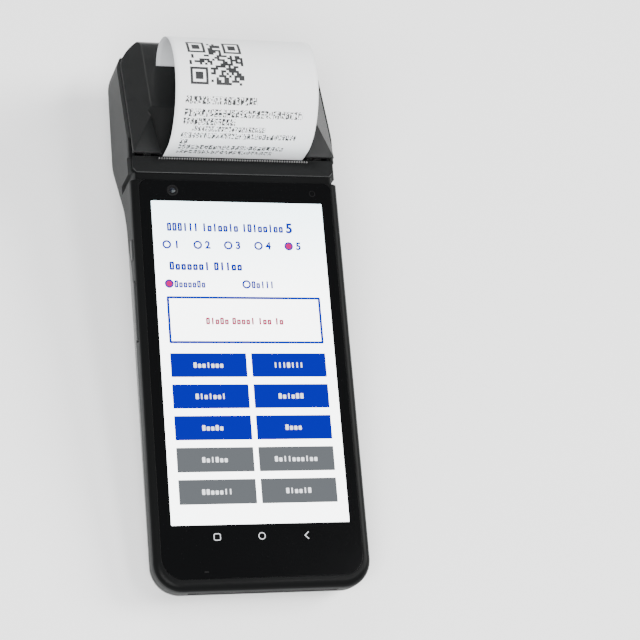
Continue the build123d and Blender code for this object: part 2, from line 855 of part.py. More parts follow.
# Rear housing: grey back shell with the deep head
with BuildPart() as rear_housing:
    add(outer_form)
    add(inner_form, mode=Mode.SUBTRACT)
    add(band_region(), mode=Mode.SUBTRACT)
    add(rear_insides.part)
    add(pad.part)
    add(cover_pocket.part, mode=Mode.SUBTRACT)
    # Battery bay and the slots for the cover's pegs
    with Locations(at(0, (tub_start_y + tub_end_y) / 2, tub_top_z - tub_ceiling - waist_depth / 2)):
        Box(tub_width - 2 * tub_wall, tub_end_y - tub_start_y - 2 * tub_wall, waist_depth, mode=Mode.SUBTRACT)
    with Locations(at(0, peg_y - peg_swing / 2, -waist_depth)):
        with GridLocations(2 * peg_x, 1, 2, 1):
            Box(peg_width + 2 * move_gap, peg_length + peg_swing + 2 * move_gap, 4 * wall, mode=Mode.SUBTRACT)
    # Contact recess with its eight holes
    add(contact_recess(0), mode=Mode.SUBTRACT)
    with Locations(at(0, contact_y, recess_floor_z)):
        with GridLocations(contact_pitch, 1, contact_count, 1):
            Cylinder(contact_radius + part_gap, 4 * recess_wall, mode=Mode.SUBTRACT)
    # Speaker slots and the short slots of the microphone
    for x, y, length, count in (
        (speaker_x, speaker_y, speaker_slot_length, slot_count),
        (short_slot_x, short_slot_y, short_slot_length, short_slot_count),
    ):
        with BuildSketch(level(speaker_z - speaker_height)):
            with Locations((x, y)):
                with GridLocations(slot_pitch, 1, count, 1):
                    SlotOverall(length, speaker_slot_width, rotation=90)
        extrude(amount=-head_depth, mode=Mode.SUBTRACT)
    # Screw wells with a floor that the screws clamp
    for x, y, top in screw_places:
        with Locations(at(x, y, well_floor_z - well_floor - head_depth / 2)):
            Cylinder(well_radius, head_depth, mode=Mode.SUBTRACT)
        with Locations(at(x, y, well_floor_z)):
            Cylinder(screw_radius + part_gap, 4 * well_floor, mode=Mode.SUBTRACT)
    # Recess for the back panel and the camera window, and the camera's opening
    with BuildSketch(level(-pad_depth)):
        with Locations((0, (pad_start_y + pad_end_y) / 2)):
            RectangleRounded(pad_width, pad_length, pad_radius)
    extrude(amount=pad_recess, mode=Mode.SUBTRACT)
    with Locations(at(camera_x, camera_y, -pad_depth)):
        Cylinder(camera_radius + part_gap, 4 * camera_length, mode=Mode.SUBTRACT)
    with Locations(at(flash_x, camera_y, -pad_depth)):
        Cylinder(flash_radius + part_gap, 4 * camera_length, mode=Mode.SUBTRACT)
rear_housing.part.label = "rear_housing"
export_step(rear_housing.part, "parts/rear_housing.step")

# Cover glass
touch_glass = glass_plate(0, glass_thickness)
touch_glass.label = "touch_glass"
export_step(touch_glass, "parts/touch_glass.step")

# Display panel behind the glass
with BuildPart() as display_panel:
    with Locations(at(0, (display_start_y + display_end_y) / 2, under_glass_z - display_thickness / 2)):
        Box(display_width, display_length, display_thickness)
    fillet(display_panel.edges().filter_by(UP), display_corner_radius)
display_panel.part.label = "display_panel"
export_step(display_panel.part, "parts/display_panel.step")

# Front camera behind the glass
with BuildPart() as front_camera:
    with Locations(at(front_camera_x, front_camera_y, under_glass_z - front_camera_length / 2)):
        Cylinder(front_camera_radius, front_camera_length)
    chamfer(front_camera.faces().sort_by(UP)[-1].edges(), front_camera_radius / 5)
    with Locations(at(front_camera_x, front_camera_y, under_glass_z - front_camera_length)):
        Box(3 * front_camera_radius, 3 * front_camera_radius, front_camera_length / 2)
front_camera.part.label = "front_camera"
export_step(front_camera.part, "parts/front_camera.step")

# Battery cover: the outer skin of the back, with two pegs under its upper edge
with BuildPart() as battery_cover:
    add(cover_prism(0))
    add(outer_form, mode=Mode.INTERSECT)
    add(terminal_form(cover_thickness), mode=Mode.SUBTRACT)
    with Locations(at(0, peg_y, -waist_depth + cover_thickness + peg_height / 2)):
        with GridLocations(2 * peg_x, 1, 2, 1):
            Box(peg_width, peg_length, peg_height)
battery_cover.part.label = "battery_cover"
export_step(battery_cover.part, "parts/battery_cover.step")

# Battery pack
with BuildPart() as battery_pack:
    with Locations(at(0, battery_start_y + battery_length / 2, battery_back_z + battery_height / 2)):
        Box(battery_width, battery_length, battery_height)
    fillet(battery_pack.edges().filter_by(UP), battery_edge_radius)
    fillet(battery_pack.edges().filter_by(ALONG), battery_edge_radius)
battery_pack.part.label = "battery_pack"
export_step(battery_pack.part, "parts/battery_pack.step")

# Contact block that the pack meets, with slots for its blades
with BuildPart() as battery_contacts:
    with Locations(at(0, battery_end_y + part_gap + blades_length / 2, battery_back_z + blades_height / 2)):
        Box(blades_width, blades_length, blades_height)
        with GridLocations(blades_width / 4, 1, 3, 1):
            Box(blade_slot, 2 * blades_length, blades_height / 2, mode=Mode.SUBTRACT)
battery_contacts.part.label = "battery_contacts"
export_step(battery_contacts.part, "parts/battery_contacts.step")

# Power key, with a flange that holds it behind the wall
with BuildPart() as power_key:
    add(key_body(power_key_length, power_key_y))
    with Locations(at(-half_width + wall + (move_gap + key_flange) / 2, power_key_y, key_z)):
        Box(move_gap + key_flange, power_key_length - 2 * key_flange, key_height - 2 * part_gap)
    with Locations(at(-half_width + wall + move_gap + key_flange / 2, power_key_y, key_z)):
        Box(key_flange, power_key_length + 2 * key_flange, key_height + key_flange)
power_key.part.label = "power_key"
export_step(power_key.part, "parts/power_key.step")

# Volume rocker, with a flange in the middle and a nub for each of its two switches
with BuildPart() as volume_rocker:
    add(key_body(rocker_length, rocker_y))
    with Locations(at(-half_width + wall + (move_gap + key_flange) / 2, rocker_y, key_z)):
        Box(move_gap + key_flange, rocker_length / 4, key_height - 2 * part_gap)
    with Locations(at(-half_width + wall + move_gap + key_flange - rocker_flange / 2, rocker_y, key_z)):
        Box(rocker_flange, rocker_length / 4, key_height + key_flange)
    with Locations(at(-half_width + wall + rocker_nub_reach / 2, rocker_y, key_z)):
        with GridLocations(1, 2 * rocker_nub_y, 1, 2):
            Box(rocker_nub_reach, rocker_nub_length, key_height / 2)
volume_rocker.part.label = "volume_rocker"
export_step(volume_rocker.part, "parts/volume_rocker.step")

# Switches on the board's edge behind the keys
with BuildPart() as power_switch:
    with Locations(at(switch_x, power_key_y, board_z + part_gap + switch_height / 2)):
        Box(switch_depth, switch_length, switch_height)
power_switch.part.label = "power_switch"
export_step(power_switch.part, "parts/power_switch.step")

with BuildPart() as rocker_switches:
    with Locations(at(switch_x, rocker_y, board_z + part_gap + switch_height / 2)):
        with GridLocations(1, 2 * rocker_nub_y, 1, 2):
            Box(switch_depth, switch_length, switch_height)
rocker_switches.part.label = "rocker_switches"
export_step(rocker_switches.part, "parts/rocker_switches.step")

# Tear bar, with a slot for the blade
with BuildPart() as tear_bar:
    with BuildSketch(MIDDLE):
        Polygon(
            (groove_end_y, part_gap - tear_bar_drop),
            (groove_end_y, tear_bar_front_z),
            (bar_end_y, tear_bar_rear_z),
            (bar_end_y, part_gap - tear_bar_drop),
            align=None,
        )
    extrude(amount=tear_bar_width / 2, both=True)
    chamfer(tear_bar.edges().filter_by(UP).group_by(ALONG)[0], tear_bar_end_chamfer)
    with Locations(at(0, blade_end_y - blade_thickness / 2, 0)):
        Box(
            blade_width + 2 * part_gap,
            blade_thickness + part_gap,
            2 * (blade_height + part_gap - blade_top_z),
            mode=Mode.SUBTRACT,
        )
tear_bar.part.label = "tear_bar"
export_step(tear_bar.part, "parts/tear_bar.step")

# Serrated blade, standing in the bar's slot
tooth_pitch = blade_width / tooth_count
with BuildPart() as tear_blade:
    with BuildSketch(station(blade_end_y - blade_thickness)):
        with Locations((0, blade_top_z - blade_height / 2)):
            Rectangle(blade_width, blade_height)
        with Locations((0, blade_top_z)):
            with GridLocations(tooth_pitch, 1, tooth_count, 1):
                Polygon((-tooth_pitch / 2, 0), (tooth_pitch / 2, 0), (0, tooth_height), align=None)
    extrude(amount=-blade_thickness)
tear_blade.part.label = "tear_blade"
export_step(tear_blade.part, "parts/tear_blade.step")

# Back panel and camera window side by side in the recess of the pad
window_end_y = pad_start_y + window_length
with BuildPart() as pad_panels:
    with BuildSketch(level(recess_z)):
        with Locations((0, (pad_start_y + pad_end_y) / 2)):
            RectangleRounded(
                pad_width - 2 * part_gap, pad_length - 2 * part_gap, pad_radius - part_gap
            )
    extrude(amount=-panel_thickness)

with BuildPart() as back_panel:
    add(pad_panels.part)
    with Locations(at(0, window_end_y - pad_width / 2 + part_gap / 2, recess_z)):
        Box(pad_width, pad_width, pad_width, mode=Mode.SUBTRACT)
back_panel.part.label = "back_panel"
export_step(back_panel.part, "parts/back_panel.step")

with BuildPart() as camera_window:
    add(pad_panels.part)
    with Locations(at(0, window_end_y + pad_width / 2 - part_gap / 2, recess_z)):
        Box(pad_width, pad_width, pad_width, mode=Mode.SUBTRACT)
    with Locations(at(camera_x, camera_y, recess_z)):
        Cylinder(camera_radius, 4 * panel_thickness, mode=Mode.SUBTRACT)
    with Locations(at(flash_x, camera_y, recess_z)):
        Cylinder(flash_radius, 4 * panel_thickness, mode=Mode.SUBTRACT)
camera_window.part.label = "camera_window"
export_step(camera_window.part, "parts/camera_window.step")

# Lens of the rear camera, dished, and the flash's lens
with BuildPart() as camera_lens:
    with Locations(at(camera_x, camera_y, recess_z - panel_thickness / 2)):
        Cylinder(camera_radius - part_gap / 2, panel_thickness)
    with Locations(at(camera_x, camera_y, recess_z - panel_thickness)):
        Cone(camera_radius * 0.75, camera_radius * 0.45, panel_thickness, mode=Mode.SUBTRACT)
camera_lens.part.label = "camera_lens"
export_step(camera_lens.part, "parts/camera_lens.step")

with BuildPart() as flash_lens:
    with Locations(at(flash_x, camera_y, recess_z - panel_thickness / 2)):
        Cylinder(flash_radius - part_gap / 2, panel_thickness)
    fillet(flash_lens.faces().sort_by(UP)[0].edges(), panel_thickness / 3)
flash_lens.part.label = "flash_lens"
export_step(flash_lens.part, "parts/flash_lens.step")

with BuildPart() as camera_module:
    with Locations(at(camera_x, camera_y, recess_z + part_gap + camera_length / 2)):
        Cylinder(camera_radius - part_gap, camera_length)
    with Locations(at(camera_x, camera_y, recess_z + part_gap + camera_length + camera_base_height / 2)):
        Box(camera_base, camera_base, camera_base_height)
camera_module.part.label = "camera_module"
export_step(camera_module.part, "parts/camera_module.step")

# Charge contacts and the carrier they are pressed in
with BuildPart() as charge_contacts:
    with Locations(at(0, contact_y, recess_floor_z - contact_proud + contact_length / 2)):
        with GridLocations(contact_pitch, 1, contact_count, 1):
            Cylinder(contact_radius, contact_length)
charge_contacts.part.label = "charge_contacts"
export_step(charge_contacts.part, "parts/charge_contacts.step")

with BuildPart() as contact_carrier:
    with Locations(at(0, contact_y, recess_floor_z + wall + part_gap + carrier_height / 2)):
        Box(carrier_width, carrier_length, carrier_height)
        with GridLocations(contact_pitch, 1, contact_count, 1):
            Cylinder(contact_radius, 2 * carrier_height, mode=Mode.SUBTRACT)
contact_carrier.part.label = "contact_carrier"
export_step(contact_carrier.part, "parts/contact_carrier.step")

# Speaker behind its slots
with BuildPart() as speaker:
    with Locations(at(speaker_x, speaker_y, speaker_z - speaker_height / 2)):
        Box(speaker_width, speaker_slot_length, speaker_height)
    fillet(speaker.edges().filter_by(UP), speaker_corner_radius)
speaker.part.label = "speaker"
export_step(speaker.part, "parts/speaker.step")

# Circuit board, its screws and its shield can
with BuildPart() as main_board:
    with BuildSketch(level(board_z)):
        with Locations((0, (board_start_y + board_end_y) / 2)):
            RectangleRounded(board_width, board_end_y - board_start_y, board_corner_radius)
        with Locations((0, board_screw_mid_y)):
            with GridLocations(2 * board_screw_x, board_screw_run, 2, 2):
                Circle(board_screw_radius + part_gap, mode=Mode.SUBTRACT)
    extrude(amount=-board_thickness)
main_board.part.label = "main_board"
export_step(main_board.part, "parts/main_board.step")

with BuildPart() as board_screws:
    with Locations(at(0, board_screw_mid_y, board_z - board_thickness)):
        with GridLocations(2 * board_screw_x, board_screw_run, 2, 2):
            Cylinder(
                board_screw_head_radius, board_screw_radius, align=(Align.CENTER, Align.CENTER, Align.MAX)
            )
            Cylinder(
                board_screw_radius,
                board_thickness + ledge_height,
                align=(Align.CENTER, Align.CENTER, Align.MIN),
            )
board_screws.part.label = "board_screws"
export_step(board_screws.part, "parts/board_screws.step")

with BuildPart() as board_shield:
    with Locations(at(0, shield_y, board_z + part_gap + shield_height / 2)):
        Box(shield_width, shield_length, shield_height)
    offset(amount=-shield_wall, openings=board_shield.faces().sort_by(UP)[0], kind=Kind.INTERSECTION)
board_shield.part.label = "board_shield"
export_step(board_shield.part, "parts/board_shield.step")

# Card reader behind the slot
with BuildPart() as card_reader:
    with Locations(at(0, wall + part_gap + reader_length / 2, slot_z)):
        Box(reader_width, reader_length, reader_height)
    with Locations(at(0, wall + part_gap, slot_z)):
        Box(slot_width, 2 * (reader_length - wall), slot_height / 2, mode=Mode.SUBTRACT)
card_reader.part.label = "card_reader"
export_step(card_reader.part, "parts/card_reader.step")

# Screws in the wells
with BuildPart() as housing_screws:
    for x, y, top in screw_places:
        with Locations(at(x, y, well_floor_z - well_floor)):
            Cylinder(screw_head_radius, screw_head_height, align=(Align.CENTER, Align.CENTER, Align.MAX))
            Cylinder(screw_radius, screw_length, align=(Align.CENTER, Align.CENTER, Align.MIN))
        with Locations(at(x, y, well_floor_z - well_floor - screw_head_height)):
            Box(screw_head_radius, screw_head_radius / 3, screw_head_height, mode=Mode.SUBTRACT)
            Box(screw_head_radius / 3, screw_head_radius, screw_head_height, mode=Mode.SUBTRACT)
housing_screws.part.label = "housing_screws"
export_step(housing_screws.part, "parts/housing_screws.step")

# Hollow of the lid, which leaves a wall round the paper's pocket
with BuildPart() as lid_cavity:
    add(lid_form(lid_wall, 3 * lid_rise))
    add(paper_pocket(lid_wall), mode=Mode.SUBTRACT)

# Lip of the pocket's wall that hangs below the lid's seam
lip_low_z = pocket_lip_z - 1.5 * lid_wall
with BuildPart() as pocket_lip:
    add(paper_pocket(lid_wall))
    with Locations(at(0, pocket_lip_y + (pocket_top_y - pocket_turn_y) / 2, lip_low_z / 2)):
        Box(lid_width, pocket_top_y - pocket_turn_y, -lip_low_z, mode=Mode.INTERSECT)

with BuildPart() as hinge_barrel:
    with Locations(at(0, hinge_y, hinge_z)):
        Cylinder(barrel_radius, barrel_width, rotation=(0, 90, 0))
    add(lid_plan(0), mode=Mode.INTERSECT)

with BuildPart() as roller_arms:
    for hand in (1, -1):
        with BuildSketch(side(hand * (arm_x + arm_wall / 2) - arm_wall / 2)):
            with Locations((platen_y, platen_z)):
                Circle(shaft_radius + sleeve_wall)
            with Locations((platen_y, platen_z / 2)):
                Rectangle(2 * (shaft_radius + sleeve_wall), -platen_z)
        extrude(amount=arm_wall)

# Lid: faceted shell with the paper's pocket, the roller's arms and the hinge barrel
with BuildPart() as printer_lid:
    add(lid_form(0, seam_drop - move_gap))
    add(pocket_lip.part)
    add(lid_cavity.part, mode=Mode.SUBTRACT)
    add(roller_arms.part)
    add(hinge_barrel.part)
    add(paper_pocket(0), mode=Mode.SUBTRACT)
    with Locations(at(0, hinge_y + barrel_radius / 2, hinge_z)):
        with GridLocations(2 * lug_x, 1, 2, 1):
            Box(
                lug_width + 2 * move_gap,
                3 * (barrel_radius + move_gap),
                2 * (barrel_radius + 2 * move_gap),
                mode=Mode.SUBTRACT,
            )
    with Locations(at(0, hinge_y, hinge_z)):
        Cylinder(hinge_pin_radius + running_clearance, body_width, rotation=(0, 90, 0), mode=Mode.SUBTRACT)
    with Locations(at(0, platen_y, platen_z)):
        Cylinder(shaft_radius + running_clearance, body_width, rotation=(0, 90, 0), mode=Mode.SUBTRACT)
printer_lid.part.label = "printer_lid"
export_step(printer_lid.part, "parts/printer_lid.step")

lid_hinge_pin = disc_along(-hinge_pin_length / 2, hinge_pin_length / 2, hinge_pin_radius, (hinge_y, hinge_z))
lid_hinge_pin.label = "lid_hinge_pin"
export_step(lid_hinge_pin, "parts/lid_hinge_pin.step")

# Roller: shaft, rubber and gear turn together in the lid's arms
platen_centre = (platen_y, platen_z)
axle_end_x = gear_x + gear_width + part_gap
platen_shaft = disc_along(-gear_x, axle_end_x, shaft_radius, platen_centre)
platen_shaft.label = "platen_shaft"
export_step(platen_shaft, "parts/platen_shaft.step")

platen_rubber = disc_along(-rubber_width / 2, rubber_width / 2, platen_radius, platen_centre, shaft_radius)
platen_rubber.label = "platen_rubber"
export_step(platen_rubber, "parts/platen_rubber.step")

with BuildPart() as platen_bushes:
    for hand in (1, -1):
        with BuildSketch(side(hand * (chassis_x + chassis_wall / 2) - bush_length / 2)):
            with Locations(platen_centre):
                Circle(bush_radius)
                Circle(shaft_radius + running_clearance, mode=Mode.SUBTRACT)
        extrude(amount=bush_length)
platen_bushes.part.label = "platen_bushes"
export_step(platen_bushes.part, "parts/platen_bushes.step")

# Gear train: the idler meshes with the roller's gear and with the motor's pinion
platen_pitch = gear_module * platen_teeth / 2
idler_pitch = gear_module * idler_teeth / 2
motor_pitch = gear_module * motor_teeth / 2
train_y = motor_y - platen_y
train_z = motor_z - platen_z
train_length = hypot(train_y, train_z)
platen_reach = platen_pitch + idler_pitch
motor_reach = idler_pitch + motor_pitch
along_train = (platen_reach**2 - motor_reach**2 + train_length**2) / (2 * train_length)
aside = (platen_reach**2 - along_train**2) ** 0.5
idler_y = platen_y + (along_train * train_y - aside * train_z) / train_length
idler_z = platen_z + (along_train * train_z + aside * train_y) / train_length
idler_centre = (idler_y, idler_z)
motor_centre = (motor_y, motor_z)
to_idler = degrees(atan2(idler_z - platen_z, idler_y - platen_y))
to_motor = degrees(atan2(motor_z - idler_z, motor_y - idler_y))
idler_phase = mesh_phase(0, platen_teeth, idler_teeth, to_idler)
motor_phase = mesh_phase(idler_phase, idler_teeth, motor_teeth, to_motor)

platen_gear = spur_gear(platen_teeth, shaft_radius, platen_centre, 0)
platen_gear.label = "platen_gear"
export_step(platen_gear, "parts/platen_gear.step")

idler_gear = spur_gear(idler_teeth, axle_radius + running_clearance, idler_centre, idler_phase)
idler_gear.label = "idler_gear"
export_step(idler_gear, "parts/idler_gear.step")

motor_pinion = spur_gear(motor_teeth, motor_shaft_radius, motor_centre, motor_phase)
motor_pinion.label = "motor_pinion"
export_step(motor_pinion, "parts/motor_pinion.step")

idler_axle = disc_along(chassis_x, axle_end_x, axle_radius, idler_centre)
idler_axle.label = "idler_axle"
export_step(idler_axle, "parts/idler_axle.step")

# Stepper motor, and the shaft that carries the pinion
motor_end_x = chassis_x - part_gap
bore = motor_shaft_radius + running_clearance
stepper_motor = disc_along(motor_end_x - motor_length, motor_end_x, motor_radius, motor_centre, bore)
stepper_motor.label = "stepper_motor"
export_step(stepper_motor, "parts/stepper_motor.step")

motor_shaft = disc_along(motor_end_x - motor_length, axle_end_x, motor_shaft_radius, motor_centre)
motor_shaft.label = "motor_shaft"
export_step(motor_shaft, "parts/motor_shaft.step")

# Printer chassis: two side plates on a floor, notched for the roller's bushes
chassis_start_y = beam_end_y + part_gap
notch_half = bush_radius + fit_gap
with BuildPart() as printer_chassis:
    for hand in (1, -1):
        with BuildSketch(side(hand * (chassis_x + chassis_wall / 2) - chassis_wall / 2)):
            with Locations(((chassis_start_y + chassis_end_y) / 2, (chassis_top_z + chassis_low_z) / 2)):
                RectangleRounded(
                    chassis_end_y - chassis_start_y, chassis_top_z - chassis_low_z, chassis_corner_radius
                )
            with Locations(platen_centre):
                Circle(notch_half, mode=Mode.SUBTRACT)
            Polygon(
                (platen_y - notch_half, platen_z),
                (platen_y + notch_half, platen_z),
                (platen_y + notch_half + notch_lean, chassis_top_z),
                (platen_y - notch_half, chassis_top_z),
                align=None,
                mode=Mode.SUBTRACT,
            )
            with Locations(idler_centre):
                Circle(axle_radius, mode=Mode.SUBTRACT)
            with Locations(motor_centre):
                Circle(bore, mode=Mode.SUBTRACT)
        extrude(amount=chassis_wall)
    with Locations(at(0, chassis_start_y + chassis_floor_length / 2, chassis_floor_z + chassis_wall / 2)):
        Box(2 * chassis_x, chassis_floor_length, chassis_wall)
printer_chassis.part.label = "printer_chassis"
export_step(printer_chassis.part, "parts/printer_chassis.step")

# Print head on its finned heat sink, pressed back by two springs
with BuildPart() as print_head:
    with Locations(at(0, head_face_y - head_thickness / 2, head_mid_z)):
        Box(rubber_width, head_thickness, head_height)
print_head.part.label = "print_head"
export_step(print_head.part, "parts/print_head.step")

with BuildPart() as heat_sink:
    with Locations(at(0, sink_start_y + heat_sink_thickness / 2, head_mid_z)):
        Box(rubber_width, heat_sink_thickness, head_height)
    with Locations(at(0, sink_start_y, head_top_z)):
        with GridLocations(fin_pitch, 1, fin_count, 1):
            Box(fin_gap, heat_sink_thickness, head_height, mode=Mode.SUBTRACT)
heat_sink.part.label = "heat_sink"
export_step(heat_sink.part, "parts/heat_sink.step")

spring_run = sink_start_y - beam_end_y - 2 * spring_wire - part_gap
with BuildPart() as head_springs:
    for hand in (1, -1):
        coil_centre = SEAT.from_local_coords(
            (hand * spring_x, beam_end_y + spring_wire + part_gap / 2, head_mid_z - head_height / 4)
        )
        with BuildLine() as coil:
            pitch = spring_run / spring_turns
            Helix(pitch, spring_run, spring_radius, center=coil_centre, direction=SEAT.y_dir)
        with BuildSketch(Plane(origin=coil.line @ 0, z_dir=coil.line % 0)):
            Circle(spring_wire)
        sweep(path=coil.line, is_frenet=True)
head_springs.part.label = "head_springs"
export_step(head_springs.part, "parts/head_springs.step")

# Paper roll on its core
paper_roll = disc_along(-paper_width / 2, paper_width / 2, roll_radius, (roll_y, roll_z), core_radius)
paper_roll.label = "paper_roll"
export_step(paper_roll, "parts/paper_roll.step")

roll_core = disc_along(-paper_width / 2, paper_width / 2, core_radius, (roll_y, roll_z), core_bore_radius)
roll_core.label = "roll_core"
export_step(roll_core, "parts/roll_core.step")

# Cradle under the roll, with two end plates
cradle_inner = roll_radius + cradle_gap
cradle_outer = cradle_inner + cradle_wall - part_gap
with BuildPart() as paper_cradle:
    add(ring_sector(-cradle_half_width, cradle_half_width, cradle_inner, cradle_outer))
    add(ring_sector(-cradle_half_width, cradle_wall - cradle_half_width, roll_radius / 2, cradle_outer))
    add(ring_sector(cradle_half_width - cradle_wall, cradle_half_width, roll_radius / 2, cradle_outer))
paper_cradle.part.label = "paper_cradle"
export_step(paper_cradle.part, "parts/paper_cradle.step")

# Paper from the roll round a bend up to the print line
wrap_radius = roll_radius + paper_thickness
turn_y = nip_y + web_turn_radius
bend_run = hypot(roll_y - turn_y, roll_z - web_turn_z)
bend_fall = degrees(atan2(web_turn_z - roll_z, roll_y - turn_y))
web_turn = 90 - bend_fall - degrees(asin((wrap_radius - web_turn_radius) / bend_run))
with BuildLine(MIDDLE) as web_path:
    drop = Line((nip_y, strip_low_z - web_gap), (nip_y, web_turn_z))
    bend = JernArc(drop @ 1, drop % 1, web_turn_radius, web_turn)
    Line(bend @ 1, bend @ 1 + (bend % 1) * (bend_run**2 - (wrap_radius - web_turn_radius) ** 2) ** 0.5)
paper_web = paper_along(web_path.wire())
paper_web.label = "paper_web"
export_step(paper_web, "parts/paper_web.step")

# Printed receipt: up out of the nip, over in a curl and down to the lid
with BuildLine(MIDDLE) as strip_path:
    rise = Line((nip_y, strip_low_z), (nip_y, curl_base_z))
    curl = JernArc(rise @ 1, rise % 1, curl_radius, -180)
    JernArc(curl @ 1, curl % 1, tail_radius, -tail_angle)
receipt_strip = paper_along(strip_path.wire())
receipt_strip.label = "receipt_strip"
export_step(receipt_strip, "parts/receipt_strip.step")
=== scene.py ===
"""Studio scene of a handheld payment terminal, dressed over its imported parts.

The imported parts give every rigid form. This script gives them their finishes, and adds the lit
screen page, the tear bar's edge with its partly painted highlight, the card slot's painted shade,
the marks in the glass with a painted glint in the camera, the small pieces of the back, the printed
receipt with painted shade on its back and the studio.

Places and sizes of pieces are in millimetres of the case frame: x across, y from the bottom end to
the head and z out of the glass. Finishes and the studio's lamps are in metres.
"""

import logging
import math
import random
from dataclasses import dataclass
from enum import Enum
from functools import cache
from typing import Protocol, Sequence

import bmesh
import bpy
from mathutils import Matrix, Quaternion, Vector


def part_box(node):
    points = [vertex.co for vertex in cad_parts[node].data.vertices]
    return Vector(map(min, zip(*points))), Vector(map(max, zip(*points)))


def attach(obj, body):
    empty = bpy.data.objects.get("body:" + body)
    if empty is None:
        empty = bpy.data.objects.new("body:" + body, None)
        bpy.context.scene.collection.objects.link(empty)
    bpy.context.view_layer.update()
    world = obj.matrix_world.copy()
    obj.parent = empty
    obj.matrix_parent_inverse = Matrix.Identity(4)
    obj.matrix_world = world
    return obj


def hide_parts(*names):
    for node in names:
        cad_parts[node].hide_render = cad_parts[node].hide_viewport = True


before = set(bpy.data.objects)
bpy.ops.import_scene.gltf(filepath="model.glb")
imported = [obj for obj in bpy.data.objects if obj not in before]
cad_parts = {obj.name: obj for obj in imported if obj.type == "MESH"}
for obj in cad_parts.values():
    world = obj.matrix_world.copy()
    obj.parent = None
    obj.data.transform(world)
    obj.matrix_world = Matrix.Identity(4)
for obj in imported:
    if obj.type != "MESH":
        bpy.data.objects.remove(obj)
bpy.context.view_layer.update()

log = logging.getLogger("terminal")

Point = tuple[float, float, float]
Flat = tuple[float, float]
Colour = tuple[float, float, float]
Profile = tuple[Flat, ...]
Corners = list[bmesh.types.BMVert]
Item = bpy.types.Object
Material = bpy.types.Material
Socket = bpy.types.NodeSocket
Value = Socket | float
Inputs = dict[str | int, object]

MILLIMETRE = 0.001
BLACK = (0.0, 0.0, 0.0)
WHITE = (1.0, 1.0, 1.0)
# Coordinate along the sheet that marks its unprinted back
SHEET_BACK = -1000.0


class Bodies(Enum):
    """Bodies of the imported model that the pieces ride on."""

    CASE = "case"
    LID = "lid"


class CaseFrame:
    """Lie of the case on the table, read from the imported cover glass, whose face is at z = 0.

    Attributes:
        GLASS_START: Place of the glass's lower end along the case.
        GLASS_LENGTH: Length of the glass.
        GLASS_THICKNESS: Its thickness.
    """

    GLASS_START = 4.6
    GLASS_LENGTH = 155.5
    GLASS_THICKNESS = 1.1

    def __init__(self) -> None:
        """Work out the matrix from case millimetres to scene metres."""
        low, high = (Vector(corner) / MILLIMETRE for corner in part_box("touch_glass"))
        diagonal = math.hypot(self.GLASS_LENGTH, self.GLASS_THICKNESS)
        lean = math.atan(self.GLASS_THICKNESS / self.GLASS_LENGTH)
        tilt = math.asin((high.z - low.z) / diagonal) - lean
        origin_y = low.y - self.GLASS_START * math.cos(tilt)
        origin_z = high.z - (self.GLASS_START + self.GLASS_LENGTH) * math.sin(tilt)
        shift = Matrix.Translation(Vector((0.0, origin_y, origin_z)))
        self.matrix = Matrix.Scale(MILLIMETRE, 4) @ shift @ Matrix.Rotation(tilt, 4, "X")

    def point(self, x: float, y: float, z: float) -> Vector:
        """Return the scene place of a point of the case."""
        return self.matrix @ Vector((x, y, z))

    def direction(self, x: float, y: float, z: float) -> Vector:
        """Return the scene direction of a direction of the case."""
        return (self.matrix.to_3x3() @ Vector((x, y, z))).normalized()


CASE = CaseFrame()


def arc(centre: Flat, radius: float, start: float, end: float, steps: int) -> list[Flat]:
    """Return points along an arc, both ends included.

    Args:
        centre: Middle of the arc.
        radius: Radius of the arc.
        start: Angle of its first point in degrees.
        end: Angle of its last point in degrees.
        steps: Parts of the arc.

    Returns:
        The points in order.
    """
    angles = [math.radians(start + (end - start) * k / steps) for k in range(steps + 1)]
    return [(centre[0] + radius * math.cos(a), centre[1] + radius * math.sin(a)) for a in angles]


def circle(centre: Flat, radius: float, sides: int) -> list[Flat]:
    """Return the corners of a circle's outline."""
    return arc(centre, radius, 0.0, 360.0, sides)[:-1]


def rounded_outline(centre: Flat, size: Flat, radius: float, steps: int = 2) -> list[Flat]:
    """Return the outline of a rounded rectangle.

    Args:
        centre: Middle of the rectangle.
        size: Width and height.
        radius: Radius of the corners.
        steps: Parts of each corner.

    Returns:
        Corners in order, counter-clockwise.
    """
    half_width, half_height = size[0] / 2 - radius, size[1] / 2 - radius
    points = []
    for across, along, start in ((1, -1, -90), (1, 1, 0), (-1, 1, 90), (-1, -1, 180)):
        corner = (centre[0] + across * half_width, centre[1] + along * half_height)
        points += arc(corner, radius, start, start + 90, steps)
    return points


def add_object(name: str, data: bpy.types.ID) -> Item:
    """Add an object to the scene.

    Args:
        name: Name of the object.
        data: Its mesh, curve, lamp or camera.

    Returns:
        The new object.
    """
    item = bpy.data.objects.new(name, data)
    bpy.context.scene.collection.objects.link(item)
    return item


def add_piece(name: str, data: bpy.types.Mesh, finish: str, body: Bodies) -> Item:
    """Make a piece of a mesh and let it move with a body.

    Args:
        name: Name of the piece.
        data: Its mesh.
        finish: Name of its finish.
        body: Body that it moves with.

    Returns:
        The new object.
    """
    data.materials.clear()
    data.materials.append(material(finish))
    piece = add_object(name, data)
    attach(piece, body.value)
    log.info("piece %s: %d faces", name, len(data.polygons))
    return piece


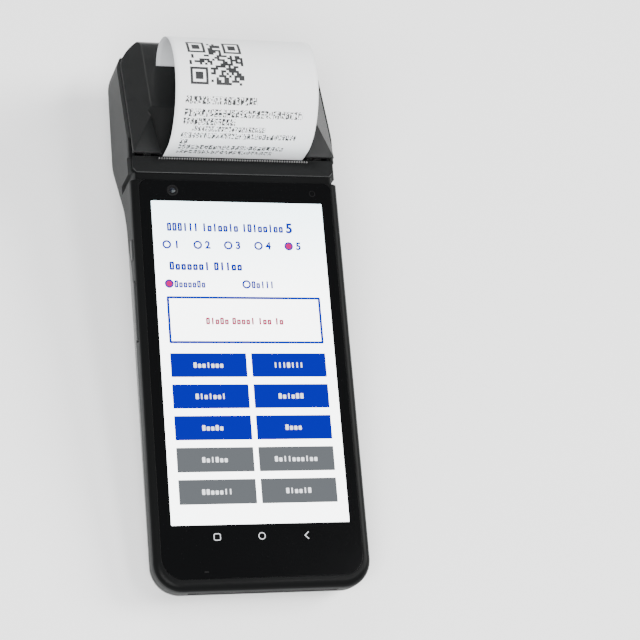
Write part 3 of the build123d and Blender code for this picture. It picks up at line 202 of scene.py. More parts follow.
class Mesher:
    """Collects faces in case millimetres and turns them into a piece of the scene."""

    def __init__(self, name: str) -> None:
        """Start an empty mesh.

        Args:
            name: Name of the piece.
        """
        self.name = name
        self.mesh = bmesh.new()
        self.uv = self.mesh.loops.layers.uv.new("Sheet")

    def ring(self, outline: Sequence[Flat], height: float) -> Corners:
        """Add the corners of an outline at a height."""
        return [self.mesh.verts.new((x, y, height)) for x, y in outline]

    def bridge(self, first: Corners, second: Corners) -> None:
        """Join two closed rings of corners with faces.

        Args:
            first: Ring on one side. A ring of one corner becomes a tip.
            second: Ring on the other side.
        """
        count = max(len(first), len(second))
        for k in range(count):
            n = (k + 1) % count
            near = (first[k % len(first)], first[n % len(first)])
            beyond = (second[n % len(second)], second[k % len(second)])
            self.mesh.faces.new(tuple(dict.fromkeys(near + beyond)))

    def plate(self, outline: Sequence[Flat], low: float, high: float) -> None:
        """Add a plate with a closed outline.

        Args:
            outline: Corners of the outline in order.
            low: Height of its underside.
            high: Height of its face.
        """
        bottom, top = self.ring(outline, low), self.ring(outline, high)
        self.mesh.faces.new(top)
        self.mesh.faces.new(bottom[::-1])
        self.bridge(bottom, top)

    def frame_plate(self, outer: list[Flat], inner: list[Flat], low: float, high: float) -> None:
        """Add a flat closed frame.

        Args:
            outer: Corners of the outer outline.
            inner: As many corners of the inner outline.
            low: Height of its underside.
            high: Height of its face.
        """
        edges = ((outer, low), (outer, high), (inner, high), (inner, low))
        rings = [self.ring(outline, height) for outline, height in edges]
        for first, second in zip(rings, rings[1:] + rings[:1]):
            self.bridge(first, second)

    def tube(self, path: Sequence[Vector], radius: float, sides: int) -> None:
        """Add a round bead along an open path.

        Args:
            path: Places along the middle of the bead.
            radius: Radius of the bead.
            sides: Number of sides round it.
        """
        rings = []
        for behind, centre, ahead in zip([path[0], *path], path, [*path[1:], path[-1]]):
            run = (ahead - behind).normalized()
            across = run.cross(Vector((0.0, 0.0, 1.0))).normalized()
            lift = across.cross(run)
            spots = [centre + across * u + lift * v for u, v in circle((0.0, 0.0), radius, sides)]
            rings.append([self.mesh.verts.new(spot) for spot in spots])
        for first, second in zip(rings, rings[1:]):
            self.bridge(first, second)
        self.mesh.faces.new(rings[0][::-1])
        self.mesh.faces.new(rings[-1])

    def revolve(self, profile: Sequence[Flat], centre: Point, sides: int, back: bool) -> None:
        """Add a turned piece about the z direction of the case.

        Args:
            profile: Pairs of radius and height in order.
            centre: Middle of the piece.
            sides: Number of sides round it.
            back: Whether heights run out of the case's back, away from the glass.
        """
        rings = []
        for radius, height in profile:
            outline = circle(centre[:2], radius, sides) if radius > 0 else [centre[:2]]
            rings.append(self.ring(outline, centre[2] - height if back else centre[2] + height))
        for first, second in zip(rings, rings[1:]):
            self.bridge(second, first)

    def build(self, finish: str, body: Bodies = Bodies.CASE, smooth: bool = False) -> Item:
        """Turn the collected faces into a piece that rides on a body.

        Args:
            finish: Name of the piece's finish.
            body: Body that the piece moves with.
            smooth: Whether its faces are shaded smooth.

        Returns:
            The new object.
        """
        self.mesh.transform(CASE.matrix)
        bmesh.ops.recalc_face_normals(self.mesh, faces=self.mesh.faces)
        data = bpy.data.meshes.new(self.name)
        self.mesh.to_mesh(data)
        self.mesh.free()
        for face in data.polygons:
            face.use_smooth = smooth
        return add_piece(self.name, data, finish, body)


class Nodes:
    """Grows a material's node tree round one principled shader."""

    def __init__(self, name: str) -> None:
        """Start the material with its shader and the object's own coordinates.

        Args:
            name: Name of the material.
        """
        self.material = bpy.data.materials.new(name)
        self.material.use_nodes = True
        self.tree = self.material.node_tree
        self.shader = self.tree.nodes["Principled BSDF"]
        self.spot = self.add("ShaderNodeTexCoord").outputs["Object"]

    def put(self, target: Socket, value: object) -> None:
        """Give an input its value.

        Args:
            target: Input that takes the value.
            value: A constant, or the socket of another node.
        """
        if isinstance(value, Socket):
            self.tree.links.new(value, target)
        else:
            target.default_value = value

    def add(self, kind: str, inputs: Inputs | None = None, **fields: object) -> bpy.types.Node:
        """Add a node.

        Args:
            kind: Type of the node.
            inputs: Constants or sockets for its inputs, by name or number.
            fields: Values of its own fields.

        Returns:
            The new node.
        """
        node = self.tree.nodes.new(kind)
        for key, value in fields.items():
            setattr(node, key, value)
        for key, value in (inputs or {}).items():
            self.put(node.inputs[key], value)
        return node

    def sets(self, **values: object) -> None:
        """Set the shader's own inputs.

        Args:
            values: Constants or other nodes' sockets, each by the input's name.
        """
        for key, value in values.items():
            name = key.replace("_", " ").title().replace("Ior", "IOR")
            self.put(self.shader.inputs[name], value)

    def parts(self, source: Socket) -> bpy.types.NodeOutputs:
        """Return the sockets X, Y and Z of a vector."""
        return self.add("ShaderNodeSeparateXYZ", {0: source}).outputs

    def noise(self, scale: float | Point, detail: float = 2.0, rough: float = 0.5) -> Socket:
        """Return a noise value over the object's space.

        Args:
            scale: Features per metre, one number or one for each axis.
            detail: Octaves of the noise.
            rough: Weight of the finer octaves.

        Returns:
            The value socket.
        """
        spot = self.spot
        if isinstance(scale, tuple):
            spot = self.add("ShaderNodeMapping", {"Scale": scale, "Vector": spot}).outputs["Vector"]
            scale = 1.0
        inputs = {"Scale": scale, "Detail": detail, "Roughness": rough, "Vector": spot}
        return self.add("ShaderNodeTexNoise", inputs).outputs["Fac"]

    def ramp(self, value: Socket, *stops: tuple[float, Colour]) -> Socket:
        """Run a colour between two stops of a value.

        Args:
            value: Value between zero and one.
            stops: The two stops, each with its colour.

        Returns:
            The colour socket.
        """
        node = self.add("ShaderNodeValToRGB", {"Fac": value})
        for element, (place, colour) in zip(node.color_ramp.elements, stops):
            element.position = place
            element.color = (*colour, 1.0)
        return node.outputs["Color"]

    def clouds(self, dark: Colour, light: Colour) -> Socket:
        """Return a tint that drifts slowly between two colours."""
        return self.ramp(self.noise(38.0, 3.0, 0.55), (0.3, dark), (0.72, light))

    def span(self, value: Socket, low: float, high: float) -> Socket:
        """Return the value mapped from zero and one to low and high."""
        inputs = {"To Min": low, "To Max": high, "Value": value}
        return self.add("ShaderNodeMapRange", inputs).outputs["Result"]

    def math(self, operation: str, first: Value, *others: Value) -> Socket:
        """Work out an operation on sockets and numbers, taken from left to right.

        Args:
            operation: Name of the operation.
            first: First socket or number.
            others: The ones after it, or none for an operation on one value.

        Returns:
            The value socket.
        """
        result = first
        for other in others or (0.0,):
            node = self.add("ShaderNodeMath", {0: result, 1: other}, operation=operation)
            result = node.outputs[0]
        return result

    def mix(self, factor: Socket, first: Socket | Colour, second: Socket | Colour) -> Socket:
        """Mix two colours, each a constant or a socket.

        Args:
            factor: Share of the second colour.
            first: First colour.
            second: Second colour.

        Returns:
            The colour socket.
        """
        first, second = (v if isinstance(v, Socket) else (*v, 1.0) for v in (first, second))
        inputs = {0: factor, 6: first, 7: second}
        return self.add("ShaderNodeMix", inputs, data_type="RGBA").outputs[2]

    def bump(self, height: Socket, depth: float, edge: float = 0.0) -> None:
        """Drive the shader's normal from a height.

        Args:
            height: Height between zero and one.
            depth: Height of the relief in metres.
            edge: Radius that edges are rounded with in metres, or zero.
        """
        inputs = {"Strength": 1.0, "Distance": depth, "Height": height}
        if edge > 0:
            rounding = self.add("ShaderNodeBevel", {"Radius": edge}, samples=4)
            inputs["Normal"] = rounding.outputs["Normal"]
        self.sets(normal=self.add("ShaderNodeBump", inputs).outputs["Normal"])


def tinted(colour: Colour, factor: float, lift: float = 0.0) -> Colour:
    """Return a colour scaled by a factor and lifted, with no part over one."""
    return tuple(min(1.0, part * factor + lift) for part in colour)


class Finish(Protocol):
    """Look of a piece."""

    def grow(self, nodes: Nodes) -> None:
        """Grow the nodes of the look."""


@dataclass(frozen=True)
class MouldedPlastic:
    """Satin moulded plastic with a fine spark-eroded grain and slightly rubbed edges.

    Attributes:
        dark: Colour in the cloudy tint's dark parts.
        light: Colour in its light parts.
        gloss: Roughness between zero and one.
        grain: Grain features per metre.
        depth: Depth of the grain in metres.
        edge: Radius of the softened edges in metres.
        shine: Strength of its reflections.
    """

    dark: Colour
    light: Colour
    gloss: float = 0.42
    grain: float = 5200.0
    depth: float = 0.00003
    edge: float = 0.00025
    shine: float = 0.5

    def grow(self, nodes: Nodes) -> None:
        """Grow the cloudy tint, the rubbed edges, the patchy gloss and the grain.

        Args:
            nodes: Nodes of the material.
        """
        wear = nodes.add("ShaderNodeNewGeometry").outputs["Pointiness"]
        rubbed = nodes.ramp(wear, (0.5, BLACK), (0.56, (0.35, 0.35, 0.35)))
        tint = nodes.mix(rubbed, nodes.clouds(self.dark, self.light), tinted(self.light, 1.5, 0.01))
        grain = nodes.noise(self.grain, 3.0, 0.6)
        fine = nodes.span(grain, self.gloss - 0.05, self.gloss + 0.05)
        patchy = nodes.span(nodes.noise(120.0), -0.04, 0.04)
        nodes.sets(
            base_color=tint,
            roughness=nodes.math("ADD", fine, patchy),
            specular_ior_level=self.shine,
        )
        nodes.bump(grain, self.depth, self.edge)


@dataclass(frozen=True)
class TwoToneHousing:
    """Dark side plastic, lightened partly as painted light, whose face round the glass is smoother
    and blacker.

    Attributes:
        side: Colour of the sides, partly their own dark grey and partly painted light from the side
            lamps.
        face: Colour of the face round the glass.
        line: Height of the line between the two, in case millimetres.
        blur: Half of the line's width in metres.
    """

    side: Colour
    face: Colour
    line: float = -1.8
    blur: float = 0.0002

    def grow(self, nodes: Nodes) -> None:
        """Grow the two tones, each with its own gloss and strength of reflections; the lighter side
        tone is partly painted light.

        Args:
            nodes: Nodes of the material.
        """
        high = self.height(nodes)
        grain = nodes.noise(5200.0, 3.0, 0.6)
        # Side tone: partly the plastic's own dark grey, partly painted light from the side lamps
        # and the floor
        sides = nodes.clouds(self.side, tinted(self.side, 1.35))
        smoother = nodes.math("MULTIPLY", high, 0.32)
        nodes.sets(
            base_color=nodes.mix(high, sides, self.face),
            roughness=nodes.math("SUBTRACT", nodes.span(grain, 0.58, 0.68), smoother),
            specular_ior_level=nodes.span(high, 0.16, 0.04),
        )
        nodes.bump(grain, 0.00002, 0.0004)

    def height(self, nodes: Nodes) -> Socket:
        """Tell the face from the sides by the height over the glass.

        Args:
            nodes: Nodes of the material.

        Returns:
            Zero under the line and one over it.
        """
        place = nodes.parts(nodes.spot)
        normal = CASE.direction(0.0, 0.0, 1.0)
        base = CASE.point(0.0, 0.0, self.line).dot(normal)
        along = nodes.math("MULTIPLY", place["Y"], normal.y)
        over = nodes.math("ADD", along, nodes.math("MULTIPLY", place["Z"], normal.z))
        inputs = {"From Min": base - self.blur, "From Max": base + self.blur, "Value": over}
        node = nodes.add("ShaderNodeMapRange", inputs, interpolation_type="SMOOTHSTEP")
        return node.outputs["Result"]


@dataclass(frozen=True)
class PolishedPlate:
    """Hard polished plate, such as cover glass or a camera window, with a trace of dust.

    Attributes:
        colour: Colour of the plate.
        haze: Roughness of its clean parts.
        shine: Strength of its reflections.
    """

    colour: Colour
    haze: float = 0.06
    shine: float = 0.3

    def grow(self, nodes: Nodes) -> None:
        """Grow the specks of dust and the faint smears.

        Args:
            nodes: Nodes of the material.
        """
        smear = nodes.noise(24.0, 4.0, 0.6)
        dust = nodes.noise(1900.0, 1.0, 0.4)
        speck = nodes.ramp(dust, (0.74, BLACK), (0.8, (0.25, 0.25, 0.25)))
        nodes.sets(
            base_color=nodes.mix(speck, self.colour, tinted(self.colour, 1.0, 0.02)),
            roughness=nodes.span(smear, self.haze, self.haze + 0.07),
            specular_ior_level=self.shine,
        )
        nodes.bump(smear, 0.000002, 0.0002)


@dataclass(frozen=True)
class Metal:
    """Bare or plated metal, brushed along one axis.

    Attributes:
        colour: Colour of the metal.
        gloss: Roughness between zero and one.
        brushing: Features of the brushing per metre along x, y and z.
    """

    colour: Colour
    gloss: float = 0.3
    brushing: Point = (300.0, 9000.0, 9000.0)

    def grow(self, nodes: Nodes) -> None:
        """Grow the brushing.

        Args:
            nodes: Nodes of the material.
        """
        lines = nodes.noise(self.brushing, 3.0)
        nodes.sets(
            base_color=nodes.ramp(lines, (0.3, tinted(self.colour, 0.82)), (0.7, self.colour)),
            roughness=nodes.span(lines, self.gloss - 0.07, self.gloss + 0.1),
            metallic=1.0,
        )
        nodes.bump(lines, 0.000006, 0.0001)


@dataclass(frozen=True)
class ToothedSteel:
    """Steel of the tear blade, with painted highlights on its tooth flanks and painted shade
    between its teeth, in turn along it.

    Attributes:
        flank: Painted highlight colour of the tooth flanks.
        root: Painted shade colour between the teeth.
        width: Width of the blade in metres, with the middle of its row of teeth at x = 0.
        teeth: Number of its teeth, an even one.
    """

    flank: Colour
    root: Colour
    width: float = 0.0602
    teeth: int = 60

    def grow(self, nodes: Nodes) -> None:
        """Grow the painted bands of highlight on the flanks and shade at the roots, and the
        grinding lines.

        Args:
            nodes: Nodes of the material.
        """
        pitch = self.width / self.teeth
        # Painted highlight and shade: a cosine band, light on each tooth flank and dark at each
        # root
        place = nodes.math("SUBTRACT", nodes.parts(nodes.spot)["X"], pitch / 2)
        wave = nodes.math("COSINE", nodes.math("MULTIPLY", place, 2 * math.pi / pitch))
        share = nodes.math("ADD", nodes.math("MULTIPLY", wave, 0.5), 0.5)
        lines = nodes.noise((9000.0, 400.0, 400.0), 3.0)
        nodes.sets(
            base_color=nodes.mix(share, self.root, self.flank),
            roughness=nodes.span(lines, 0.35, 0.52),
            metallic=0.7,
        )
        nodes.bump(lines, 0.000006, 0.0001)


@dataclass(frozen=True)
class ScreenInk:
    """Colour on the lit display, seen through the polished cover glass; also the glow of a painted
    glint.

    Attributes:
        colour: Colour of the lit area.
        power: Strength of its own light.
        fade: Colour that the upper part of the page runs to, or None.
        fade_end: Place along the table where it has run out, in metres.
    """

    colour: Colour
    power: float
    fade: Colour | None = None
    fade_end: float = 0.036

    def grow(self, nodes: Nodes) -> None:
        """Grow the glow of the pixels and the glass over them.

        Args:
            nodes: Nodes of the material.
        """
        pixels = nodes.noise((9000.0, 9000.0, 9000.0), 1.0)
        dim = tinted(self.colour, 0.97)
        glow = nodes.ramp(pixels, (0.35, dim), (0.65, self.colour))
        if self.fade:
            along = nodes.parts(nodes.spot)["Y"]
            inputs = {"From Max": self.fade_end, "To Max": 0.85, "Value": along}
            share = nodes.add("ShaderNodeMapRange", inputs).outputs["Result"]
            glow = nodes.mix(share, glow, self.fade)
        unlit = nodes.ramp(pixels, (0.35, tinted(dim, 0.1)), (0.65, tinted(self.colour, 0.12)))
        nodes.sets(
            emission_color=glow,
            emission_strength=self.power,
            base_color=unlit,
            roughness=0.08,
            specular_ior_level=0.12,
        )


@dataclass(frozen=True)
class ThermalPaper:
    """Thermal paper, bare or with a printed face.

    Attributes:
        colour: Colour of the bare paper.
        printed: Whether the sheet carries print.
        back: Colour of the printed sheet's back, darkened as painted shade for the curl's shaded
            underside.
        ink: Colour of the print.
    """

    colour: Colour = (0.88, 0.89, 0.9)
    printed: bool = True
    back: Colour = (0.45, 0.46, 0.47)
    ink: Colour = (0.016, 0.0165, 0.018)

    def grow(self, nodes: Nodes) -> None:
        """Grow the cloudy paper, its fibres, its print and the painted shade on its back.

        Args:
            nodes: Nodes of the material.
        """
        paper = nodes.mix(nodes.noise(90.0), tinted(self.colour, 0.965), self.colour)
        if self.printed:
            mask = PrintMask(nodes)
            # Painted shade: the sheet's back is darkened for the shade under the curl
            paper = nodes.mix(mask.ink(), nodes.mix(mask.back(), paper, self.back), self.ink)
        fibre = nodes.noise(2600.0, 4.0, 0.65)
        rough = nodes.span(fibre, 0.42, 0.58)
        nodes.sets(base_color=paper, roughness=rough, specular_ior_level=0.35)
        nodes.bump(fibre, 0.000008)


class PrintMask:
    """Print of the receipt, in the sheet's own millimetres across and along it.

    Attributes:
        BLOCK: Lower left corner of the block of modules.
        MODULE: Size of a module.
        MODULES: Modules along each side of the block.
        DARK_MODULES: Share of its modules that are printed.
        SQUARE: Reach of a corner square's heart, hollow, edge and margin, in modules.
        ROWS: Start, end, low and high of each row of marks.
        ROW_CELLS: Cells in the height of a row.
        DARK_CELLS: Share of its cells that are printed.
        MARK_PITCH: Width of a mark with the gap after it, over its height.
        MARK_SHARE: Share of the mark in this width.
        LEFT_END: Place across the sheet that is left of all marks.
    """

    BLOCK = (-22.2, 36.8)
    MODULE = 1.0
    MODULES = 21
    DARK_MODULES = 0.52
    SQUARE = (1.5, 2.5, 3.5, 4.5)
    ROWS = (
        (-24.3, 4.0, 29.4, 32.4),
        (-24.3, 22.2, 24.5, 27.5),
        (-24.3, -4.0, 21.1, 23.9),
        (-20.4, 8.3, 18.2, 20.6),
        (-24.3, 21.0, 14.7, 17.5),
        (-24.2, -21.0, 11.2, 14.2),
        (-24.0, 17.5, 7.4, 10.6),
        (-23.8, 14.6, 3.2, 6.4),
    )
    ROW_CELLS = 6
    DARK_CELLS = 0.56
    MARK_PITCH = 0.55
    MARK_SHARE = 0.8
    LEFT_END = -100.0

    def __init__(self, nodes: Nodes) -> None:
        """Take the sheet's own coordinates from its mesh.

        Args:
            nodes: Nodes of the material.
        """
        self.nodes = nodes
        self.math = nodes.math
        place = nodes.parts(nodes.add("ShaderNodeUVMap", uv_map="Sheet").outputs["UV"])
        self.across, self.along = place["X"], place["Y"]

    def back(self) -> Socket:
        """Return one on the sheet's back."""
        return self.math("LESS_THAN", self.along, SHEET_BACK / 2)

    def ink(self) -> Socket:
        """Print an invented block and plain rows of marks.

        Returns:
            One where there is print.
        """
        ink = self.block()
        for start, end, low, high in self.ROWS:
            height = high - low
            row = self.window((start, end), (low, high))
            marks = self.cells(height / self.ROW_CELLS, self.DARK_CELLS)
            row = self.math("MULTIPLY", row, marks, self.spaces(self.MARK_PITCH * height))
            ink = self.math("MAXIMUM", ink, row)
        return ink

    def block(self) -> Socket:
        """Print the square block, with a framed square in three of its corners.

        Returns:
            One where there is ink.
        """
        left, low = self.BLOCK
        size = self.MODULES * self.MODULE
        area = self.window((left, left + size), (low, low + size))
        ink = self.math("MULTIPLY", area, self.cells(self.MODULE, self.DARK_MODULES))
        near = self.SQUARE[2] * self.MODULE
        far = size - near
        for x, y in ((near, near), (near, far), (far, far)):
            ink = self.corner_square((left + x, low + y), ink)
        return ink

    def corner_square(self, centre: Flat, ink: Socket) -> Socket:
        """Lay a framed square with a clear margin round it over the ink.

        Args:
            centre: Middle of the square, across and along the sheet.
            ink: One where there is ink without it.

        Returns:
            One where there is ink with it.
        """
        away = (self.away(self.across, centre[0]), self.away(self.along, centre[1]))
        reach = self.math("MAXIMUM", *away)
        heart, hollow, edge, margin = (self.MODULE * modules for modules in self.SQUARE)
        ring = self.math("LESS_THAN", reach, edge)
        ring = self.math("MULTIPLY", ring, self.math("GREATER_THAN", reach, hollow))
        rest = self.math("MULTIPLY", ink, self.math("GREATER_THAN", reach, margin))
        return self.math("MAXIMUM", rest, ring, self.math("LESS_THAN", reach, heart))

    def away(self, socket: Socket, place: float) -> Socket:
        """Return the distance from a place across or along the sheet."""
        return self.math("ABSOLUTE", self.math("SUBTRACT", socket, place))

    def window(self, across: Flat, along: Flat) -> Socket:
        """Cut out a rectangle of the sheet.

        Args:
            across: Its two ends across the sheet.
            along: Its two ends along the sheet.

        Returns:
            One inside it.
        """
        inside = [
            self.math("LESS_THAN", self.away(socket, (low + high) / 2), (high - low) / 2)
            for socket, (low, high) in ((self.across, across), (self.along, along))
        ]
        return self.math("MULTIPLY", *inside)

    def spaces(self, pitch: float) -> Socket:
        """Part the marks of a row from each other.

        Args:
            pitch: Width of a mark with the gap after it.

        Returns:
            Zero in the thin gaps.
        """
        from_left = self.math("SUBTRACT", self.across, self.LEFT_END)
        share = self.math("FRACT", self.math("DIVIDE", from_left, pitch))
        return self.math("LESS_THAN", share, self.MARK_SHARE)

    def cells(self, pitch: float, share: float) -> Socket:
        """Fill a grid of square cells by chance.

        Args:
            pitch: Size of a cell.
            share: Share of filled cells.

        Returns:
            One in the filled cells.
        """
        snapped = {}
        for index, socket in enumerate((self.across, self.along)):
            place = self.math("SUBTRACT", socket, self.BLOCK[index])
            snapped[index] = self.math("FLOOR", self.math("DIVIDE", place, pitch))
        cell = self.nodes.add("ShaderNodeCombineXYZ", snapped).outputs[0]
        chance = self.nodes.add("ShaderNodeTexWhiteNoise", {"Vector": cell}, noise_dimensions="3D")
        return self.math("LESS_THAN", chance.outputs["Value"], share)


FINISHES: dict[str, Finish] = {
    # Front housing: its lighter side tone is partly painted light
    "dark_front_plastic": TwoToneHousing((0.017, 0.018, 0.018), (0.0046, 0.0048, 0.0049)),
    "grey_back_plastic": MouldedPlastic(
        (0.056, 0.059, 0.058), (0.066, 0.07, 0.069), 0.42, 6200.0, 0.000018
    ),
    "black_lid_plastic": MouldedPlastic(
        (0.0024, 0.0027, 0.0028), (0.0037, 0.0041, 0.0042), 0.3,
        edge=0.0008, shine=0.17,
    ),
    "black_bar_plastic": MouldedPlastic(
        (0.0022, 0.0025, 0.0026), (0.0032, 0.0036, 0.0037), 0.34, shine=0.05
    ),
    # Keys, and the tear bar's edge, where the lighter colour partly paints a highlight line
    "key_plastic_and_edge_highlight": MouldedPlastic((0.007, 0.0076, 0.0078), (0.011, 0.012, 0.012), 0.45),
    "inner_plastic": MouldedPlastic((0.016, 0.016, 0.016), (0.028, 0.028, 0.028), 0.55, 2400.0),
    "roller_rubber": MouldedPlastic((0.02, 0.02, 0.02), (0.03, 0.03, 0.03), 0.7, 3000.0),
    "green_board": MouldedPlastic((0.008, 0.07, 0.03), (0.012, 0.09, 0.04), 0.3, 900.0),
    "battery_wrap": MouldedPlastic((0.03, 0.033, 0.036), (0.045, 0.048, 0.052), 0.3, 700.0),
    "roll_tube_card": MouldedPlastic((0.42, 0.32, 0.22), (0.55, 0.43, 0.31), 0.8, 1800.0),
    "print_head_ceramic": MouldedPlastic((0.6, 0.56, 0.5), (0.7, 0.66, 0.6), 0.2, 800.0),
    # Dark rims of the camera, sensor and microphone hole, and the card slot's painted shade
    "dark_rim_and_painted_shade": MouldedPlastic(
        (0.0022, 0.0022, 0.0024), (0.0034, 0.0034, 0.0036), 0.5, shine=0.05
    ),
    "black_cover_glass": PolishedPlate((0.0022, 0.0023, 0.0025), shine=0.1),
    "black_window": PolishedPlate((0.003, 0.003, 0.0035), 0.05),
    "camera_lens_glass": PolishedPlate((0.004, 0.005, 0.009), 0.04),
    "flash_diffuser": PolishedPlate((0.78, 0.74, 0.5), 0.2),
    "steel": Metal((0.6, 0.6, 0.59)),
    "black_screw_steel": Metal((0.045, 0.045, 0.05), 0.4),
    "aluminium": Metal((0.8, 0.81, 0.82), 0.35),
    "gold_contacts": Metal((0.86, 0.63, 0.27), 0.28, (4000.0, 4000.0, 4000.0)),
    "flash_collar_brass": Metal((0.45, 0.4, 0.2), 0.35, (3000.0, 3000.0, 3000.0)),
    # Tear blade: painted highlights on the tooth flanks, painted shade at the roots
    "blade_steel": ToothedSteel((0.42, 0.42, 0.415), (0.03, 0.03, 0.03)),
    "thermal_paper": ThermalPaper(printed=False),
    # Printed receipt: its back carries painted shade
    "printed_receipt": ThermalPaper(),
    "screen_page": ScreenInk((0.97, 0.995, 1.0), 6.5, (0.58, 0.76, 0.83)),
    "screen_blue": ScreenInk((0.0, 0.0, 0.5), 0.95),
    "screen_line_blue": ScreenInk((0.0, 0.02, 0.6), 0.95),
    "screen_grey": ScreenInk((0.152, 0.165, 0.179), 0.95),
    "screen_pink": ScreenInk((1.0, 0.0, 0.27), 0.78),
    "screen_soft_pink": ScreenInk((0.75, 0.05, 0.17), 0.9),
    "screen_white_ink": ScreenInk((0.9, 0.93, 0.97), 2.2),
    "screen_pale_ink": ScreenInk((0.88, 0.9, 0.93), 1.5),
    # Painted glint: a faint glow that stands for the light reflected in the front camera's lens
    "camera_glint": ScreenInk((0.35, 0.4, 0.42), 0.1),
}

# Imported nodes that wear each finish
WEARERS: dict[str, tuple[str, ...]] = {
    "dark_front_plastic": ("front_housing",),
    "grey_back_plastic": ("rear_housing", "battery_cover", "back_panel"),
    "black_lid_plastic": ("printer_lid",),
    "black_bar_plastic": ("tear_bar",),
    "key_plastic_and_edge_highlight": ("power_key", "volume_rocker"),
    "inner_plastic": (
        "display_panel", "platen_bushes", "platen_gear", "idler_gear", "paper_cradle",
        "card_reader", "battery_contacts", "contact_carrier", "speaker", "camera_module",
        "power_switch", "rocker_switches",
    ),
    "roller_rubber": ("platen_rubber",),
    "green_board": ("main_board",),
    "battery_wrap": ("battery_pack",),
    "roll_tube_card": ("roll_core",),
    "print_head_ceramic": ("print_head",),
    "black_cover_glass": ("touch_glass",),
    "black_window": ("camera_window",),
    "camera_lens_glass": ("front_camera", "camera_lens"),
    "flash_diffuser": ("flash_lens",),
    "steel": (
        "lid_hinge_pin", "platen_shaft", "idler_axle", "stepper_motor", "motor_shaft",
        "head_springs", "printer_chassis", "board_shield",
    ),
    "black_screw_steel": ("housing_screws", "board_screws"),
    "aluminium": ("heat_sink",),
    "gold_contacts": ("charge_contacts", "motor_pinion"),
    "blade_steel": ("tear_blade",),
    "thermal_paper": ("receipt_strip", "paper_roll", "paper_web"),
}


@cache
def material(finish: str) -> Material:
    """Build the material of a finish once and hand it out from then on.

    Args:
        finish: Name of the finish.

    Returns:
        The material.
    """
    nodes = Nodes(finish)
    FINISHES[finish].grow(nodes)
    return nodes.material


def dress_nodes() -> None:
    """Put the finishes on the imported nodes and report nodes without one."""
    for finish, names in WEARERS.items():
        for name in names:
            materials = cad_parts[name].data.materials
            materials.clear()
            materials.append(material(finish))
            log.info("node %s: %s", name, finish)
    for name in sorted(set(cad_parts).difference(*WEARERS.values())):
        log.warning("node %s has no finish", name)


@dataclass(frozen=True)
class WordLine:
    """Line of plain upright marks in groups, with its place seen from the page's middle.

    Attributes:
        start: Left end.
        end: Right end.
        y: Middle of the line.
        height: Height of a tall mark.
        marks: Number of marks in each group.
        level: Layer that the marks lie on.
        open_marks: Whether the wide marks are open frames.
    """

    start: float
    end: float
    y: float
    height: float
    marks: tuple[int, ...]
    level: int = 1
    open_marks: bool = True


@dataclass(frozen=True)
class MarkShape:
    """Proportions of the plain upright marks.

    Attributes:
        gap: Gap between two groups over a mark's pitch.
        open_width: Width of a wide open mark over the pitch.
        filled_width: Width of a wide filled mark over the pitch.
        slim_width: Width of a slim mark over a wide one's.
        low_height: Height of a low mark over a tall one's.
        tall_share: Share of tall marks after the first of a group.
        slim_share: Share of slim marks.
        corner: Radius of the corners over the mark's width.
        weight: Width of an open mark's sides over its own width.
        hollow_corner: Radius of the hollow's corners over its width.
    """

    gap: float = 0.6
    open_width: float = 0.82
    filled_width: float = 0.72
    slim_width: float = 0.45
    low_height: float = 0.74
    tall_share: float = 0.2
    slim_share: float = 0.25
    corner: float = 0.22
    weight: float = 0.44
    hollow_corner: float = 0.1


